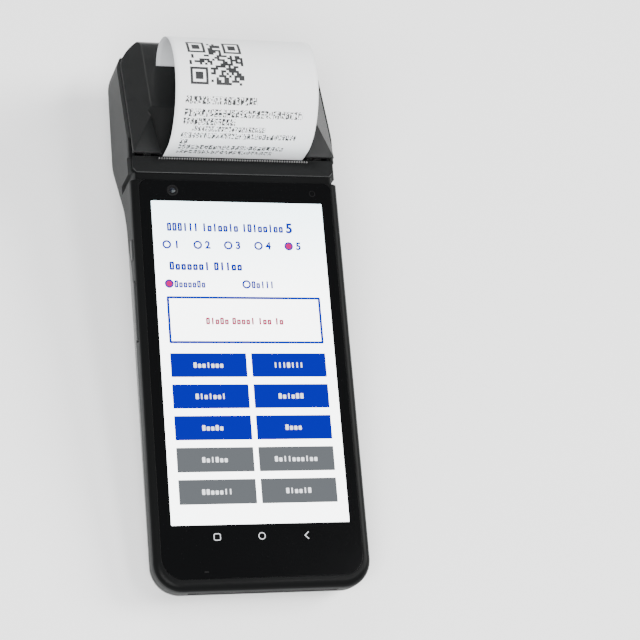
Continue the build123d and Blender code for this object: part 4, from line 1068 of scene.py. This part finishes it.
@dataclass(frozen=True)
class ScreenPage:
    """Lit page on the cover glass: headings, choices, framed line and two columns of keys.

    Places on the page are seen from its middle.

    Attributes:
        middle_y: Middle of the page along the case.
        size: Width and height of the page.
        foot: Height of its lower side over the glass.
        step: Height of its upper side, and of each layer over the last.
        seed: Seed of the differences between marks.
        headings: Lines of the headings.
        heading_number: Number after the first heading, with its place and height.
        choices: Places of the five numbered choices across the page.
        choice_y: Heights of the two rows of choices.
        modes: Places of the two named choices across the page.
        mode_words: Names of these two.
        chosen: Places of the two filled choices.
        boxed: Line of marks in the frame.
        box: Left, right, bottom and top of the frame.
        box_line: Width of the frame's line.
        columns: Left and right of the two columns of keys.
        key_rows: Number of marks on the two keys of each row.
        key_top: Middle of the first row of keys.
        key_pitch: Distance from row to row.
        key_height: Height of a key.
        blue_rows: Number of rows with blue keys, before the grey ones.
        key_corner: Radius of a key's corners.
        key_mark_height: Height of a tall mark on a key.
        key_mark_reach: Half of the pitch of the marks on a key.
        corner: Radius of the page's corners.
        mark_shape: Proportions of the marks.
        font_size: Size of the font over the height of a number.
        font_weight: Thickening of a number over its height.
        font_steps: Parts of each curve of a number.
        ring_radii: Outer and inner radius of a choice's ring.
        dot_radius: Radius of the dot in a chosen one.
        number_shift: Place of a choice's number, seen from its ring.
        number_height: Height of this number.
        box_corners: Radius of the frame's outer and inner corners.
    """

    middle_y: float = 88.0
    size: Flat = (68.0, 127.0)
    foot: float = 0.002
    step: float = 0.012
    seed: int = 7
    headings: tuple[WordLine, ...] = (
        WordLine(-28.4, 17.9, 52.9, 3.4, (6, 7, 8)),
        WordLine(-28.4, 0.4, 37.1, 3.4, (7, 5)),
    )
    heading_number: tuple[str, Flat, float] = ("5", (20.0, 52.9), 3.9)
    choices: tuple[float, ...] = (-28.9, -16.8, -4.8, 7.2, 19.3)
    choice_y: Flat = (45.7, 29.9)
    modes: Flat = (-28.9, 1.3)
    mode_words: tuple[WordLine, ...] = (
        WordLine(-26.9, -14.6, 29.8, 2.9, (7,)),
        WordLine(3.3, 12.4, 29.8, 2.9, (5,)),
    )
    chosen: tuple[Flat, ...] = ((19.3, 45.7), (-28.9, 29.9))
    boxed: WordLine = WordLine(-15.6, 15.0, 15.1, 2.7, (5, 5, 3, 2))
    box: tuple[float, float, float, float] = (-30.3, 30.1, 6.2, 24.9)
    box_line: float = 0.94
    columns: tuple[Flat, Flat] = ((-30.35, -1.0), (0.95, 30.2))
    key_rows: tuple[tuple[int, int], ...] = ((7, 7), (7, 6), (5, 4), (6, 10), (7, 6))
    key_top: float = -2.35
    key_pitch: float = 12.2
    key_height: float = 9.35
    blue_rows: int = 3
    key_corner: float = 0.25
    key_mark_height: float = 2.1
    key_mark_reach: float = 0.85
    corner: float = 0.3
    mark_shape: MarkShape = MarkShape()
    font_size: float = 1.38
    font_weight: float = 0.06
    font_steps: int = 4
    ring_radii: Flat = (1.75, 0.98)
    dot_radius: float = 1.15
    number_shift: Flat = (3.9, -0.1)
    number_height: float = 3.0
    box_corners: Flat = (0.5, 0.1)

    def build(self) -> None:
        """Build the page and everything on it."""
        page = Mesher("screen_page")
        outline = rounded_outline((0.0, self.middle_y), self.size, self.corner)
        page.plate(outline, self.foot, self.step)
        page.build("screen_page")
        chance = random.Random(self.seed)
        self.add_headings(chance)
        self.add_choices(chance)
        self.add_framed_line(chance)
        self.add_keys(chance)

    def layer(self, level: int) -> Flat:
        """Return the lower and upper height of a layer, with the page as the first one's floor."""
        return self.step * level, self.step * (level + 1)

    def spot(self, x: float, y: float) -> Flat:
        """Return the place in the case of a place on the page."""
        return x, self.middle_y + y

    def add_words(self, mesher: Mesher, chance: random.Random, line: WordLine) -> None:
        """Add a line of marks, tall or low and wide or slim by chance.

        Args:
            mesher: Mesh that takes the marks.
            chance: Source of the differences between marks.
            line: Place and grouping of the marks.
        """
        shape = self.mark_shape
        pitch = (line.end - line.start) / (sum(line.marks) + shape.gap * (len(line.marks) - 1))
        share = shape.open_width if line.open_marks else shape.filled_width
        x = line.start
        for count in line.marks:
            for place in range(count):
                tall = place == 0 or chance.random() < shape.tall_share
                slim = chance.random() < shape.slim_share
                width = share * pitch * (shape.slim_width if slim else 1.0)
                height = line.height * (1.0 if tall or slim else shape.low_height)
                centre = self.spot(x + pitch * share / 2, line.y + (height - line.height) / 2)
                framed = line.open_marks and not slim
                self.add_mark(mesher, centre, (width, height), line.level, framed)
                x += pitch
            x += shape.gap * pitch

    def add_mark(self, mesher: Mesher, centre: Flat, size: Flat, level: int, framed: bool) -> None:
        """Add one plain upright mark.

        Args:
            mesher: Mesh that takes it.
            centre: Its middle in the case.
            size: Width and height.
            level: Layer that it lies on.
            framed: Whether it is an open frame.
        """
        shape = self.mark_shape
        outline = rounded_outline(centre, size, shape.corner * size[0])
        if not framed:
            mesher.plate(outline, *self.layer(level))
            return
        weight = shape.weight * size[0]
        hollow = (size[0] - 2 * weight, size[1] - 2 * weight)
        inner = rounded_outline(centre, hollow, shape.hollow_corner * hollow[0])
        mesher.frame_plate(outline, inner, *self.layer(level))

    def add_number(self, name: str, text: str, place: Flat, height: float) -> None:
        """Add a plain number as a piece of its own.

        Args:
            name: Name of the piece.
            text: The number.
            place: Its middle on the page.
            height: Height of the number.
        """
        curve = bpy.data.curves.new(name, "FONT")
        curve.body = text
        curve.size = height * self.font_size
        curve.extrude = self.step / 2
        curve.offset = self.font_weight * height
        curve.align_x = "CENTER"
        curve.align_y = "CENTER"
        curve.resolution_u = self.font_steps
        holder = add_object(name, curve)
        bpy.context.view_layer.update()
        shown = holder.evaluated_get(bpy.context.evaluated_depsgraph_get())
        data = bpy.data.meshes.new_from_object(shown)
        bpy.data.objects.remove(holder)
        middle = sum(self.layer(1)) / 2
        data.transform(CASE.matrix @ Matrix.Translation((*self.spot(*place), middle)))
        add_piece(name, data, "screen_line_blue", Bodies.CASE)

    def add_ring(self, mesher: Mesher, x: float, y: float) -> None:
        """Add the ring of a choice."""
        outer, inner = (circle(self.spot(x, y), radius, 28) for radius in self.ring_radii)
        mesher.frame_plate(outer, inner, *self.layer(1))

    def add_headings(self, chance: random.Random) -> None:
        """Add the two headings and the number after the first.

        Args:
            chance: Source of the differences between marks.
        """
        mesher = Mesher("screen_headings")
        for line in self.headings:
            self.add_words(mesher, chance, line)
        mesher.build("screen_line_blue")
        self.add_number("screen_heading_number", *self.heading_number)

    def add_choices(self, chance: random.Random) -> None:
        """Add the round choice marks, the chosen ones filled, with their numbers and words.

        Args:
            chance: Source of the differences between marks.
        """
        rings = Mesher("screen_choice_rings")
        dots = Mesher("screen_choice_dots")
        numbered_y, named_y = self.choice_y
        for number, x in enumerate(self.choices, 1):
            self.add_ring(rings, x, numbered_y)
            place = (x + self.number_shift[0], numbered_y + self.number_shift[1])
            name = f"screen_choice_number_{number}"
            self.add_number(name, str(number), place, self.number_height)
        for x in self.modes:
            self.add_ring(rings, x, named_y)
        for place in self.chosen:
            dots.plate(circle(self.spot(*place), self.dot_radius, 24), *self.layer(2))
        for line in self.mode_words:
            self.add_words(rings, chance, line)
        rings.build("screen_line_blue")
        dots.build("screen_pink")

    def add_framed_line(self, chance: random.Random) -> None:
        """Add the thin frame with one line of pink marks in it.

        Args:
            chance: Source of the differences between marks.
        """
        left, right, bottom, top = self.box
        centre = self.spot((left + right) / 2, (bottom + top) / 2)
        size = (right - left, top - bottom)
        hollow = (size[0] - 2 * self.box_line, size[1] - 2 * self.box_line)
        box = Mesher("screen_framed_line")
        outer = rounded_outline(centre, size, self.box_corners[0], 3)
        inner = rounded_outline(centre, hollow, self.box_corners[1], 3)
        box.frame_plate(outer, inner, *self.layer(1))
        box.build("screen_line_blue")
        line = Mesher("screen_pink_line")
        self.add_words(line, chance, self.boxed)
        line.build("screen_soft_pink")

    def add_keys(self, chance: random.Random) -> None:
        """Add the two columns of on-screen keys with their filled marks.

        Args:
            chance: Source of the differences between marks.
        """
        blue = Mesher("screen_blue_keys")
        grey = Mesher("screen_grey_keys")
        marks = Mesher("screen_key_marks")
        for row, counts in enumerate(self.key_rows):
            y = self.key_top - self.key_pitch * row
            for (start, end), count in zip(self.columns, counts):
                middle, half = (start + end) / 2, self.key_mark_reach * count
                size = (end - start, self.key_height)
                key = rounded_outline(self.spot(middle, y), size, self.key_corner)
                (blue if row < self.blue_rows else grey).plate(key, *self.layer(1))
                ends = (middle - half, middle + half)
                line = WordLine(*ends, y, self.key_mark_height, (count,), 2, False)
                self.add_words(marks, chance, line)
        blue.build("screen_blue")
        grey.build("screen_grey")
        marks.build("screen_white_ink")


@dataclass(frozen=True)
class NavigationMarks:
    """Rounded square, circle and angle on the glass under the page.

    Attributes:
        y: Middle of the square and the circle along the case.
        low: Height of the lower side over the glass.
        high: Height of the upper side.
        square_x: Middle of the square.
        square: Size and corner radius of its outer and its inner outline.
        circle_x: Middle of the circle.
        radii: Its outer and inner radius.
        angle_y: Middle of the angle along the case.
        angle: Corners of the angle, seen from this middle.
    """

    y: float = 19.95
    low: float = 0.002
    high: float = 0.014
    square_x: float = -17.05
    square: tuple[Flat, Flat] = ((2.7, 0.75), (2.1, 0.45))
    circle_x: float = -0.1
    radii: Flat = (1.36, 1.06)
    angle_y: float = 19.8
    angle: Profile = (
        (17.65, 1.45), (16.1, 0.0), (17.65, -1.45), (17.88, -1.2), (16.6, 0.0), (17.88, 1.2)
    )

    def build(self) -> None:
        """Add the three marks."""
        marks = Mesher("screen_navigation_marks")
        square = [
            rounded_outline((self.square_x, self.y), (side, side), radius, 3)
            for side, radius in self.square
        ]
        ring = [circle((self.circle_x, self.y), radius, 32) for radius in self.radii]
        for outer, inner in (square, ring):
            marks.frame_plate(outer, inner, self.low, self.high)
        marks.plate([(x, self.angle_y + y) for x, y in self.angle], self.low, self.high)
        marks.build("screen_pale_ink")


@dataclass(frozen=True)
class TearBarEdge:
    """Rounded and slightly polished lower edge of the tear bar, in a lighter plastic that partly
    paints its highlight line.

    Attributes:
        half_length: Half of its straight length.
        turn: Reach of its turned ends across and along the case.
        climb: Height of a turned end over its reach.
        y: Place of its straight length along the case.
        z: Height of its straight length over the glass.
        radius: Radius of the edge.
        sides: Sides round it.
    """

    half_length: float = 38.5
    turn: float = 1.5
    climb: float = 0.14
    y: float = 163.72
    z: float = -1.29
    radius: float = 0.2
    sides: int = 10

    def build(self) -> None:
        """Add the edge with its two turned ends."""
        path = [
            Vector((hand * (self.half_length + reach), self.y + reach, self.z + self.climb * reach))
            for hand, reach in ((-1, self.turn), (-1, 0.0), (1, 0.0), (1, self.turn))
        ]
        edge = Mesher("tear_bar_edge")
        edge.tube(path, self.radius, self.sides)
        # Partly painted highlight: lighter plastic than the bar, with lamp light on its round
        edge.build("key_plastic_and_edge_highlight", smooth=True)


@dataclass(frozen=True)
class CardSlotLiner:
    """Matt black sheet in the card slot in the bottom end, with a strip over its mouth: painted
    shade for the slot's dark inside.

    Attributes:
        half_width: Half of the slot's width.
        low: Height of the slot's lower side over the glass.
        high: Height of its upper side.
        clear: Gap between the slot's sides and the liner.
        wall: Thickness of the liner.
        depth: Reach of the liner into the case.
        lip: Reach of its mouth past the case's end.
        brow: Height of the strip over its mouth.
        brow_depth: Reach of this strip into the case.
    """

    half_width: float = 28.6
    low: float = -5.8
    high: float = -4.2
    clear: float = 0.01
    wall: float = 0.16
    depth: float = 2.1
    lip: float = 0.05
    brow: float = 1.2
    brow_depth: float = 0.3

    def build(self) -> None:
        """Add the floor, the roof, the strip and the two ends of the painted shade."""
        # Painted shade: dark sheets that make the slot read as deep and dark
        shade_sheet = Mesher("card_slot_painted_shade")
        reach = self.half_width - self.clear
        inner = reach - self.wall
        floor, roof = self.low + self.clear, self.high - self.clear
        for start, end, depth, low, high in (
            (-reach, reach, self.depth, floor, floor + self.wall),
            (-reach, reach, self.depth, roof - self.wall, roof),
            (-reach, reach, self.brow_depth, roof, roof + self.brow),
            (-reach, -inner, self.depth, floor + self.wall, roof - self.wall),
            (inner, reach, self.depth, floor + self.wall, roof - self.wall),
        ):
            outline = [(start, -self.lip), (end, -self.lip), (end, depth), (start, depth)]
            shade_sheet.plate(outline, low, high)
        shade_sheet.build("dark_rim_and_painted_shade")


@dataclass(frozen=True)
class TurnedPiece:
    """Small turned piece on the glass or the back.

    Attributes:
        name: Name of the piece.
        finish: Name of its finish.
        profiles: Profiles that are turned, each of pairs of radius and height.
        centres: Places that every profile is turned at.
        sides: Number of sides round it.
        back: Whether it stands on the back.
    """

    name: str
    finish: str
    profiles: Sequence[Sequence[Flat]]
    centres: Sequence[Point]
    sides: int = 48
    back: bool = False

    def build(self) -> None:
        """Add the piece."""
        mesher = Mesher(self.name)
        for profile in self.profiles:
            for centre in self.centres:
                mesher.revolve(profile, centre, self.sides, self.back)
        mesher.build(self.finish, smooth=True)


@dataclass(frozen=True)
class GlassMarks:
    """Front camera with a painted glint in its lens, light sensor and microphone hole seen through
    the cover glass.

    Attributes:
        camera: Place of the front camera.
        camera_rim: Profile of its rim.
        pupil: Place of its pupil.
        pupil_dome: Profile of the pupil.
        glint: Place of the painted glint in its lens, a faintly glowing dome.
        glint_dome: Profile of this painted glint.
        sensor: Place of the light sensor.
        sensor_rim: Profile of its rim.
        microphone: Place of the microphone hole.
        hole_size: Width and height of the hole.
        hole_corner: Radius of its corners.
        hole_top: Height of its face over the glass.
    """

    camera: Point = (-25.3, 155.9, 0.0)
    camera_rim: Profile = ((2.25, 0.0), (2.25, 0.02), (1.55, 0.02), (1.5, 0.008), (0.0, 0.008))
    pupil: Point = (-25.3, 155.9, 0.006)
    pupil_dome: Profile = ((1.05, 0.0), (1.0, 0.03), (0.55, 0.075), (0.0, 0.095))
    glint: Point = (-25.1, 155.55, 0.0)
    glint_dome: Profile = ((0.62, 0.0), (0.6, 0.11), (0.36, 0.125), (0.0, 0.13))
    sensor: Point = (30.6, 155.8, 0.0)
    sensor_rim: Profile = ((1.25, 0.0), (1.25, 0.012), (1.05, 0.012), (1.0, 0.0))
    microphone: Flat = (-21.9, 7.1)
    hole_size: Flat = (1.7, 0.55)
    hole_corner: float = 0.26
    hole_top: float = 0.012

    def build(self) -> None:
        """Add the marks on the glass."""
        for name, finish, profile, centre in (
            ("front_camera_rim", "dark_rim_and_painted_shade", self.camera_rim, self.camera),
            ("front_camera_pupil", "camera_lens_glass", self.pupil_dome, self.pupil),
            # Painted glint: a faintly glowing dome for the light reflected in the lens
            ("front_camera_painted_glint", "camera_glint", self.glint_dome, self.glint),
            ("light_sensor_rim", "dark_rim_and_painted_shade", self.sensor_rim, self.sensor),
        ):
            TurnedPiece(name, finish, [profile], [centre]).build()
        hole = Mesher("microphone_hole")
        outline = rounded_outline(self.microphone, self.hole_size, self.hole_corner, 3)
        hole.plate(outline, 0.0, self.hole_top)
        hole.build("dark_rim_and_painted_shade")


@dataclass(frozen=True)
class HeadBack:
    """Lens rings, flash cells and contact seats of the back.

    Attributes:
        lens: Place of the rear camera on the window's face.
        lens_rings: Profile of its rings.
        lens_pupil: Profile of its pupil.
        flash: Place of the flash on it.
        flash_collar: Profile of its collar.
        cells: Number of the flash's ring-shaped cells.
        cell_pitch: Distance from cell to cell.
        cell_half: Half of the width of a cell.
        cell_heights: Height of a cell's edges and of its crest.
        contact_y: Place of the row of contacts along the case.
        contact_z: Height of their recess.
        contact_pitch: Distance from contact to contact.
        contacts: Number of contacts.
        seat: Profile of a contact's seat.
    """

    lens: Point = (-7.6, 170.6, -43.3)
    lens_rings: Profile = ((3.32, -0.1), (3.3, 0.03), (2.85, 0.04), (2.65, 0.0), (2.6, -0.1))
    lens_pupil: Profile = ((1.5, -0.5), (1.45, -0.4), (1.1, -0.28), (0.6, -0.2), (0.0, -0.17))
    flash: Point = (-16.5, 170.6, -43.3)
    flash_collar: Profile = ((2.15, -0.1), (2.15, 0.03), (1.85, 0.03), (1.8, -0.1))
    cells: int = 5
    cell_pitch: float = 0.3
    cell_half: float = 0.08
    cell_heights: Flat = (-0.05, 0.04)
    contact_y: float = 145.5
    contact_z: float = -20.8
    contact_pitch: float = 2.75
    contacts: int = 8
    seat: Profile = ((1.15, -0.1), (1.12, 0.03), (0.9, 0.03), (0.88, -0.1))

    def build(self) -> None:
        """Add the small pieces of the back."""
        rings, pupil, collar, seat = (
            [profile]
            for profile in (self.lens_rings, self.lens_pupil, self.flash_collar, self.seat)
        )
        half, (edge, crest) = self.cell_half, self.cell_heights
        radii = [self.cell_pitch * (k + 1) for k in range(self.cells)]
        cells = [[(r + half, edge), (r, crest), (r - half, edge)] for r in radii]
        middle = (self.contacts - 1) / 2
        places = [
            (self.contact_pitch * (k - middle), self.contact_y, self.contact_z)
            for k in range(self.contacts)
        ]
        for piece in (
            TurnedPiece("rear_camera_rings", "black_window", rings, [self.lens], 64, True),
            TurnedPiece("rear_camera_pupil", "camera_lens_glass", pupil, [self.lens], back=True),
            TurnedPiece("flash_cells", "flash_diffuser", cells, [self.flash], 32, True),
            TurnedPiece("flash_collar", "flash_collar_brass", collar, [self.flash], back=True),
            TurnedPiece("contact_seats", "inner_plastic", seat, places, 24, True),
        ):
            piece.build()


@dataclass(frozen=True)
class Receipt:
    """Printed receipt that comes out behind the tear blade and curls over on to the lid.

    Attributes:
        nip_y: Place of the sheet at the print line.
        low_z: Lower end of the sheet inside the nip.
        base_z: Height where the curl starts.
        radius: Radius of the curl.
        tail_radius: Radius of the tail that falls to the lid.
        tail_angle: Angle of the tail in degrees.
        width: Width of the sheet.
        thickness: Thickness of the sheet.
        columns: Faces across the sheet.
        rise_steps: Faces along its straight part.
        curl_steps: Faces along the curl.
        tail_steps: Faces along the tail.
    """

    nip_y: float = 170.3
    low_z: float = -8.7
    base_z: float = 6.5
    radius: float = 22.5
    tail_radius: float = 10.0
    tail_angle: float = 66.0
    width: float = 56.0
    thickness: float = 0.12
    columns: int = 28
    rise_steps: int = 12
    curl_steps: int = 72
    tail_steps: int = 16

    def path(self) -> list[Point]:
        """Lay the middle line of the sheet.

        Returns:
            Its points as y, z and the length along the sheet from the glass's level.
        """
        rise = self.base_z - self.low_z
        points = [
            (self.nip_y, self.low_z + rise * k / self.rise_steps) for k in range(self.rise_steps)
        ]
        curl_y = self.nip_y + self.radius
        tail_y = curl_y + self.radius - self.tail_radius
        points += arc((curl_y, self.base_z), self.radius, 180.0, 0.0, self.curl_steps)
        tail = (self.tail_radius, 0.0, -self.tail_angle, self.tail_steps)
        points += arc((tail_y, self.base_z), *tail)[1:]
        lengths = [self.low_z]
        for first, second in zip(points, points[1:]):
            lengths.append(lengths[-1] + math.dist(first, second))
        return [(y, z, length) for (y, z), length in zip(points, lengths)]

    def surface(self, mesher: Mesher, side: float) -> list[Corners]:
        """Add one side of the sheet with its own coordinates in millimetres.

        Args:
            mesher: Mesh that takes the side.
            side: Share of the thickness that it lies out from the middle line.

        Returns:
            Its corners, row by row.
        """
        path = self.path()
        stations = [self.width * (k / self.columns - 0.5) for k in range(self.columns + 1)]
        rows = []
        for behind, (y, z, _), ahead in zip([path[0], *path], path, [*path[1:], path[-1]]):
            run = Vector((0.0, ahead[0] - behind[0], ahead[1] - behind[1])).normalized()
            outward = Vector((0.0, -run.z, run.y)) * (self.thickness * side)
            rows.append([mesher.mesh.verts.new(Vector((x, y, z)) + outward) for x in stations])
        for i in range(len(rows) - 1):
            for k in range(self.columns):
                corners = [(i, k), (i, k + 1), (i + 1, k + 1), (i + 1, k)]
                if side < 0:
                    corners.reverse()
                face = mesher.mesh.faces.new([rows[a][b] for a, b in corners])
                for loop, (a, b) in zip(face.loops, corners):
                    loop[mesher.uv].uv = (stations[b], path[a][2] if side > 0 else SHEET_BACK)
        return rows

    def build(self) -> None:
        """Build the sheet and let it replace the plain strip."""
        mesher = Mesher("receipt_sheet")
        rims = []
        for side in (0.5, -0.5):
            rows = self.surface(mesher, side)
            left, right = ([row[end] for row in rows[1:-1]] for end in (0, -1))
            rims.append(rows[0] + right + rows[-1][::-1] + left[::-1])
        mesher.bridge(*rims)
        sheet = mesher.build("printed_receipt", Bodies.LID, smooth=True)
        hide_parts("receipt_strip")


@dataclass(frozen=True)
class Lamp:
    """Soft rectangular lamp.

    Attributes:
        name: Name of the lamp.
        place: Its place in metres.
        target: Point that it faces.
        size: Width and height in metres.
        power: Power in watts.
        colour: Colour of its light.
    """

    name: str
    place: Point
    target: Point
    size: Flat
    power: float
    colour: Colour = WHITE

    def build(self) -> None:
        """Add the lamp."""
        data = bpy.data.lights.new(self.name, "AREA")
        data.shape = "RECTANGLE"
        data.size, data.size_y = self.size
        data.energy = self.power
        data.color = self.colour
        lamp = add_object(self.name, data)
        lamp.location = self.place
        aim = Vector(self.target) - Vector(self.place)
        lamp.rotation_euler = aim.to_track_quat("-Z", "Y").to_euler()
        log.info("lamp %s: %g W", self.name, self.power)


@dataclass(frozen=True)
class Studio:
    """Plain pale floor, soft lights and the camera at the photograph's viewing angle.

    Attributes:
        camera_place: Place of the camera in case millimetres.
        camera_target: Point of the glass that it faces, in case millimetres.
        camera_roll: Angle in degrees that it is turned about its view.
        camera_lens: Focal length in millimetres.
        sensor_width: Width of its sensor in millimetres.
        floor_reach: Half of the floor's width in metres.
        sky: Colour of the light from all round.
        sky_power: Strength of this light.
        lamps: The soft lights: a large one over the foot, one beyond the head, one at each side
            and one that glances over the lid.
    """

    camera_place: Point = (-194.6, -132.3, 720.3)
    camera_target: Point = (29.373, 103.731, 0.0)
    camera_roll: float = 4.9826
    camera_lens: float = 115.616
    sensor_width: float = 36.0
    floor_reach: float = 20.0
    sky: Colour = (0.92, 0.95, 0.98)
    sky_power: float = 0.3
    lamps: tuple[Lamp, ...] = (
        Lamp("front_light", (-0.6, -0.9, 1.3), (0.0, 0.0, 0.03), (1.2, 0.9), 50.0),
        Lamp("head_light", (-0.5, 1.7, 1.0), (0.0, 0.03, 0.0), (1.6, 0.8), 22.0),
        Lamp("left_light", (-1.5, 0.0, 0.7), (0.0, 0.05, 0.0), (0.8, 1.2), 2.5, (0.98, 0.99, 1.0)),
        Lamp(
            "right_light", (1.45, 0.1, 1.15), (0.0, 0.05, 0.0), (0.8, 1.0), 46.0, (1.0, 0.995, 0.98)
        ),
        Lamp("lid_light", (0.58, -0.3, 1.5), (0.0, 0.05, 0.0), (0.6, 0.2), 11.0),
    )

    def build(self) -> None:
        """Build the floor, the lamps, the sky and the camera."""
        self.add_floor()
        for lamp in self.lamps:
            lamp.build()
        self.add_sky()
        self.add_camera()

    def add_floor(self) -> None:
        """Add a wide pale floor."""
        mesh = bmesh.new()
        reach = self.floor_reach
        corners = ((-reach, -reach), (reach, -reach), (reach, reach), (-reach, reach))
        mesh.faces.new([mesh.verts.new((x, y, 0.0)) for x, y in corners])
        data = bpy.data.meshes.new("studio_floor")
        mesh.to_mesh(data)
        mesh.free()
        nodes = Nodes("studio_paper")
        tint = nodes.ramp(nodes.noise(3.0), (0.3, (0.93, 0.93, 0.93)), (0.7, (0.95, 0.95, 0.95)))
        nodes.sets(base_color=tint, roughness=0.9)
        data.materials.append(nodes.material)
        add_object("studio_floor", data)

    def add_sky(self) -> None:
        """Add the light from all round."""
        world = bpy.data.worlds.new("studio_sky")
        world.use_nodes = True
        background = world.node_tree.nodes["Background"]
        background.inputs["Color"].default_value = (*self.sky, 1.0)
        background.inputs["Strength"].default_value = self.sky_power
        bpy.context.scene.world = world

    def add_camera(self) -> None:
        """Set the camera at the photograph's viewing angle."""
        data = bpy.data.cameras.new("photo_camera")
        data.sensor_fit = "HORIZONTAL"
        data.sensor_width = self.sensor_width
        data.lens = self.camera_lens
        data.clip_start = 0.01
        camera = add_object("photo_camera", data)
        ahead = (Vector(self.camera_target) - Vector(self.camera_place)).normalized()
        level = ahead.cross(Vector((0.0, 1.0, 0.0))).normalized()
        right = Quaternion(ahead, math.radians(self.camera_roll)) @ level
        axes = [CASE.direction(*axis) for axis in (right, right.cross(ahead), -ahead)]
        place = CASE.point(*self.camera_place)
        camera.matrix_world = Matrix.Translation(place) @ Matrix(axes).transposed().to_4x4()
        bpy.context.scene.camera = camera


def main() -> None:
    """Build the dressed terminal and its studio."""
    logging.basicConfig(level=logging.INFO, format="%(name)s: %(message)s")
    dress_nodes()
    small_parts = (TearBarEdge, CardSlotLiner, GlassMarks, HeadBack)
    for part in (ScreenPage, NavigationMarks, *small_parts, Receipt, Studio):
        part().build()


if __name__ == "__main__":
    main()
